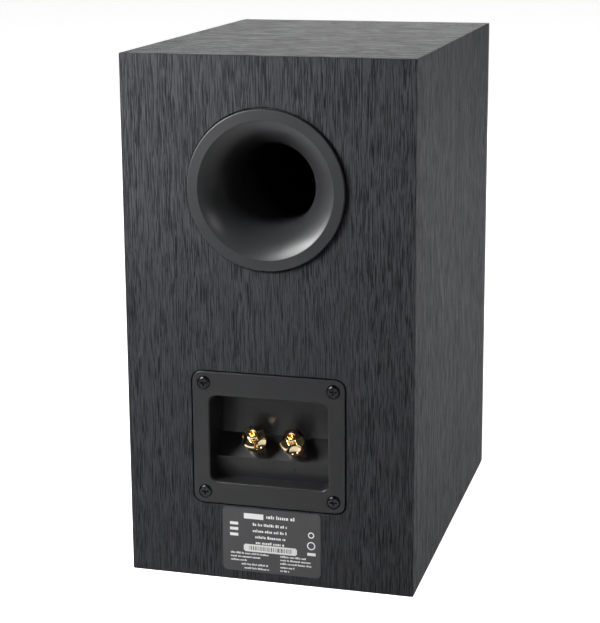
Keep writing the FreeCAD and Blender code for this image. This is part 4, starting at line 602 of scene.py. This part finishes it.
def mouth_lip():
    """The small lip where the port's flat ring turns over into its flare: a half-round bead."""
    high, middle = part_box("port_flare")[1], middle_of("port_flare")
    radius = size_of("port_flare").x / 2 - PORT_RING
    half, rise, steps = 0.35 * MM, 0.24 * MM, 6
    angles = [math.pi * k / steps for k in range(steps + 1)]
    section = [(radius - half * math.cos(a), high.y - rise * (1.05 - math.sin(a))) for a in angles]
    mesh = bmesh.new()
    turns = [2 * math.pi * k / 128 for k in range(128)]
    rings = [
        [mesh.verts.new((middle.x + r * math.cos(t), y, middle.z + r * math.sin(t))) for r, y in section]
        for t in turns
    ]
    count = len(section)
    for here, there in zip(rings, rings[1:] + rings[:1]):
        for k in range(count):
            mesh.faces.new((here[k], here[(k + 1) % count], there[(k + 1) % count], there[k]))
    bmesh.ops.recalc_face_normals(mesh, faces=mesh.faces)
    piece("port_mouth_lip", mesh, "cabinet", PORT)


# ---------------------------------------------------------------- the label's print


def add_bar(mesh, left, low, width, height, y, thick):
    """A thin flat bar on a plane that faces +Y. Its left edge is the left one as seen from behind."""
    corners = [(0, 0), (width, 0), (width, height), (0, height)]
    back = [mesh.verts.new((left - a, y, low + b)) for a, b in corners]
    face = [mesh.verts.new((left - a, y + thick, low + b)) for a, b in corners]
    mesh.faces.new(face)
    mesh.faces.new(list(reversed(back)))
    for k in range(4):
        mesh.faces.new((back[k], back[(k + 1) % 4], face[(k + 1) % 4], face[k]))


def add_ring(mesh, x, z, radius, width, y, thick, steps=28):
    """A thin flat ring on the same plane."""
    loops = []
    for r, depth in ((radius, y), (radius, y + thick), (radius - width, y + thick), (radius - width, y)):
        turn = [2 * math.pi * k / steps for k in range(steps)]
        loops.append([mesh.verts.new((x + r * math.cos(t), depth, z + r * math.sin(t))) for t in turn])
    for here, there in zip(loops, loops[1:] + loops[:1]):
        for k in range(steps):
            mesh.faces.new((here[k], here[(k + 1) % steps], there[(k + 1) % steps], there[k]))


def add_line(mesh, draw, left, low, width, height, y, thick):
    """A line of dummy print: small blocks in groups, as wide as a line of words, with no letters."""
    at, limit = left, left - width
    while at > limit:
        for _ in range(draw.randint(2, 8)):
            block = height * draw.choice((0.32, 0.45, 0.6))
            if at - block < limit:
                return
            tall = height * draw.choice((0.72, 0.72, 1.0))
            add_bar(mesh, at, low, block, tall, y, thick)
            at -= block + height * 0.2
        at -= height * 0.42


def label_print():
    """Dummy print on the label: rows of blocks, plain marks and a blank white number field."""
    low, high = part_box("rating_label")
    width, height = high.x - low.x, high.z - low.z
    face, thick = high.y, 0.03 * MM
    draw = random.Random(7)
    left, top = high.x, high.z
    mesh = bmesh.new()

    def line(x, z, long, tall):
        """A row of blocks: its left end, top, length and height, as shares of the label."""
        spot = left - x * width, top - z * height - tall * height
        add_line(mesh, draw, *spot, long * width, tall * height, face, thick)

    add_bar(mesh, left - 0.22 * width, top - 0.165 * height, 0.20 * width, 0.085 * height, face, thick)
    line(0.45, 0.085, 0.33, 0.055)
    for x, z, long in ((0.31, 0.225, 0.36), (0.31, 0.325, 0.36), (0.335, 0.42, 0.31), (0.34, 0.51, 0.30)):
        line(x, z, long, 0.043)
    for x, z, long in ((0.08, 0.70, 0.39), (0.08, 0.755, 0.32), (0.08, 0.81, 0.17), (0.19, 0.87, 0.28),
                       (0.22, 0.93, 0.26), (0.59, 0.70, 0.26), (0.59, 0.755, 0.32), (0.59, 0.81, 0.32),
                       (0.59, 0.87, 0.15), (0.59, 0.925, 0.10)):
        line(x, z, long, 0.029)
    for x, z in ((0.075, 0.275), (0.075, 0.36), (0.075, 0.45), (0.865, 0.655)):
        add_bar(mesh, left - x * width, top - z * height, 0.085 * width, 0.045 * height, face, thick)
    for z, radius in ((0.335, 0.032), (0.50, 0.042)):
        spot = left - 0.905 * width, top - z * height
        add_ring(mesh, *spot, radius * width, 0.011 * width, face, thick)
    bmesh.ops.recalc_face_normals(mesh, faces=mesh.faces)
    piece("label_print", mesh, "cabinet", label_film("label_ink", (0.88, 0.88, 0.88), 0.5))

    field = bmesh.new()
    long, tall = 34 * MM, 4.8 * MM
    corner_x, corner_z = left - 0.215 * width, top - 0.565 * height - tall
    add_bar(field, corner_x, corner_z, long, tall, face, thick)
    upright = [edge for edge in field.edges if abs(edge.verts[0].co.y - edge.verts[1].co.y) > thick / 2]
    bmesh.ops.bevel(field, geom=upright, offset=0.7 * MM, segments=4, affect="EDGES")
    bmesh.ops.recalc_face_normals(field, faces=field.faces)
    piece("label_field", field, "cabinet", label_film("label_white", (0.80, 0.80, 0.79), 0.45))

    code = bmesh.new()
    at = 0.10 * long
    while at < 0.90 * long:
        stroke = draw.choice((0.25, 0.25, 0.45, 0.7)) * MM
        add_bar(code, corner_x - at, corner_z + 0.22 * tall, stroke, 0.56 * tall, face + thick, thick / 2)
        at += stroke + draw.choice((0.35, 0.5, 0.8)) * MM
    bmesh.ops.recalc_face_normals(code, faces=code.faces)
    dark = label_film("label_dark", (0.10, 0.10, 0.10), 0.5)
    piece("label_field_bars", code, "cabinet", dark)


woofer_surround()
woofer_spider()
tweeter_suspension()
damping()
mouth_lip()
label_print()

# ---------------------------------------------------------------- studio

# The sky's light at each height: straight down is -1 and straight up is 1.
SKY = ((-1.0, 0.02), (0.0, 0.04), (0.5, 0.05), (1.0, 0.03))

# How much of its own light the floor gives to the camera, and to what mirrors it.
FLOOR_GLOW, REFLECTED_GLOW = 0.88, 0.20

# The reach of the floor and the backdrop, in metres.
ROOM = 7

# The view: a turn about +Z from the front, an angle down and a roll, in degrees.
AZIMUTH, DOWN, ROLL = 195.44, 12.29, -0.38
EYE_FROM_MIDDLE = Vector((-0.2792, 1.0640, 0.2609))
LENS, SENSOR, SHIFT = 97.7, 36, -0.10


def staged(name, mesh, material, **seen_by):
    """A thing that isn't part of the object; seen_by says which kinds of ray meet it."""
    data = bpy.data.meshes.new(name)
    mesh.to_mesh(data)
    mesh.free()
    thing = bpy.data.objects.new(name, data)
    bpy.context.scene.collection.objects.link(thing)
    wear(thing, material)
    for ray in ("camera", "diffuse", "glossy", "shadow"):
        setattr(thing, f"visible_{ray}", seen_by.get(ray, False))
    return thing


def level_sheet(reach, z):
    mesh = bmesh.new()
    corners = ((-reach, -reach), (reach, -reach), (reach, reach), (-reach, reach))
    mesh.faces.new([mesh.verts.new((x, y, z)) for x, y in corners])
    return mesh


def paper(name, glow):
    """Pale paper that also glows a little, as a lit sweep does."""
    pale = Finish(name, (0.90, 0.90, 0.90), 0.9, Specular_IOR_Level=0.1)
    pale.set(Emission_Color=(1, 1, 1, 1), Emission_Strength=glow)
    pale.bump(pale.noise(300, 3.0), 30 * MICRON, 0.2)
    return pale.material


def floor():
    """A plain pale floor and a backdrop; what the gloss reflects is a dimmer sheet just under the floor."""
    foot = CAD_BOX[0].z
    lit = paper("floor_paper", FLOOR_GLOW)
    staged("floor", level_sheet(ROOM, foot - 0.2 * MM), lit, camera=True, shadow=True)
    sheet = paper("reflected_paper", REFLECTED_GLOW)
    staged("floor_in_gloss", level_sheet(3, foot - 0.4 * MM), sheet, glossy=True)
    dome = bmesh.new()
    bmesh.ops.create_icosphere(dome, subdivisions=4, radius=ROOM)
    staged("backdrop", dome, paper("backdrop_paper", 1.0), camera=True)


def softbox(name, at, towards, width, height, power):
    """A rectangular area light, in metres and watts."""
    lamp = bpy.data.lights.new(name, "AREA")
    lamp.shape = "RECTANGLE"
    lamp.size, lamp.size_y = width, height
    lamp.energy = power
    thing = bpy.data.objects.new(name, lamp)
    thing.location = at
    thing.visible_camera = False
    thing.rotation_mode = "QUATERNION"
    thing.rotation_quaternion = (Vector(towards) - Vector(at)).to_track_quat("-Z", "Y")
    bpy.context.scene.collection.objects.link(thing)
    return thing


def sky():
    """Faint light from all round, brighter overhead."""
    world = bpy.data.worlds.new("studio")
    bpy.context.scene.world = world
    world.use_nodes = True
    nodes, links = world.node_tree.nodes, world.node_tree.links
    height = nodes.new("ShaderNodeSeparateXYZ")
    links.new(nodes.new("ShaderNodeTexCoord").outputs["Generated"], height.inputs["Vector"])
    share = nodes.new("ShaderNodeMapRange")
    share.inputs["From Min"].default_value = -1
    links.new(height.outputs["Z"], share.inputs["Value"])
    ramp = nodes.new("ShaderNodeValToRGB")
    while len(ramp.color_ramp.elements) < len(SKY):
        ramp.color_ramp.elements.new(0.5)
    for element, (up, level) in zip(ramp.color_ramp.elements, SKY):
        element.position = (up + 1) / 2
        element.color = (level, level, level, 1)
    links.new(share.outputs["Result"], ramp.inputs["Fac"])
    links.new(ramp.outputs["Color"], nodes["Background"].inputs["Color"])


def lights():
    """A raking light at the view's upper left, panels round the other sides and a wide even overhead."""
    low, high = CAD_BOX
    raking = (high.x + 0.24, high.y + 0.26, high.z + 0.10)
    softbox("raking", raking, (high.x, high.y, high.z - 0.045), 0.20, 0.30, 5.2)
    softbox("view_panel", (0.62, 1.85, 0.40), (0, high.y, 0.2), 0.5, 0.6, 2)
    softbox("right_rear", (-0.75, 1.0, 0.75), (0, high.y, 0.2), 0.3, 0.3, 1.3)
    softbox("right_panel", (-1.2, -0.3, 0.25), (low.x, 0, 0.06), 0.9, 0.6, 18)
    softbox("front_panel", (0.3, -1.8, 0.9), (0, -0.1, 0.25), 1.2, 1.0, 12)
    softbox("overhead", (0, 0, 4), (0, 0, 0), 6, 6, 50).visible_glossy = False
    sky()


def camera():
    """Above and behind the cabinet, a little to its left as seen, with a long lens."""
    azimuth, down, roll = (math.radians(angle) for angle in (AZIMUTH, DOWN, ROLL))
    level = math.cos(down)
    forward = Vector((-math.sin(azimuth) * level, math.cos(azimuth) * level, -math.sin(down)))
    data = bpy.data.cameras.new("camera")
    data.sensor_width = SENSOR
    data.lens = LENS
    data.shift_y = SHIFT
    eye = bpy.data.objects.new("camera", data)
    eye.location = (CAD_BOX[0] + CAD_BOX[1]) / 2 + EYE_FROM_MIDDLE
    eye.rotation_mode = "QUATERNION"
    eye.rotation_quaternion = forward.to_track_quat("-Z", "Y") @ Quaternion((0, 0, 1), roll)
    bpy.context.scene.collection.objects.link(eye)
    bpy.context.scene.camera = eye


floor()
lights()
camera()
bpy.context.scene.view_settings.view_transform = "Standard"
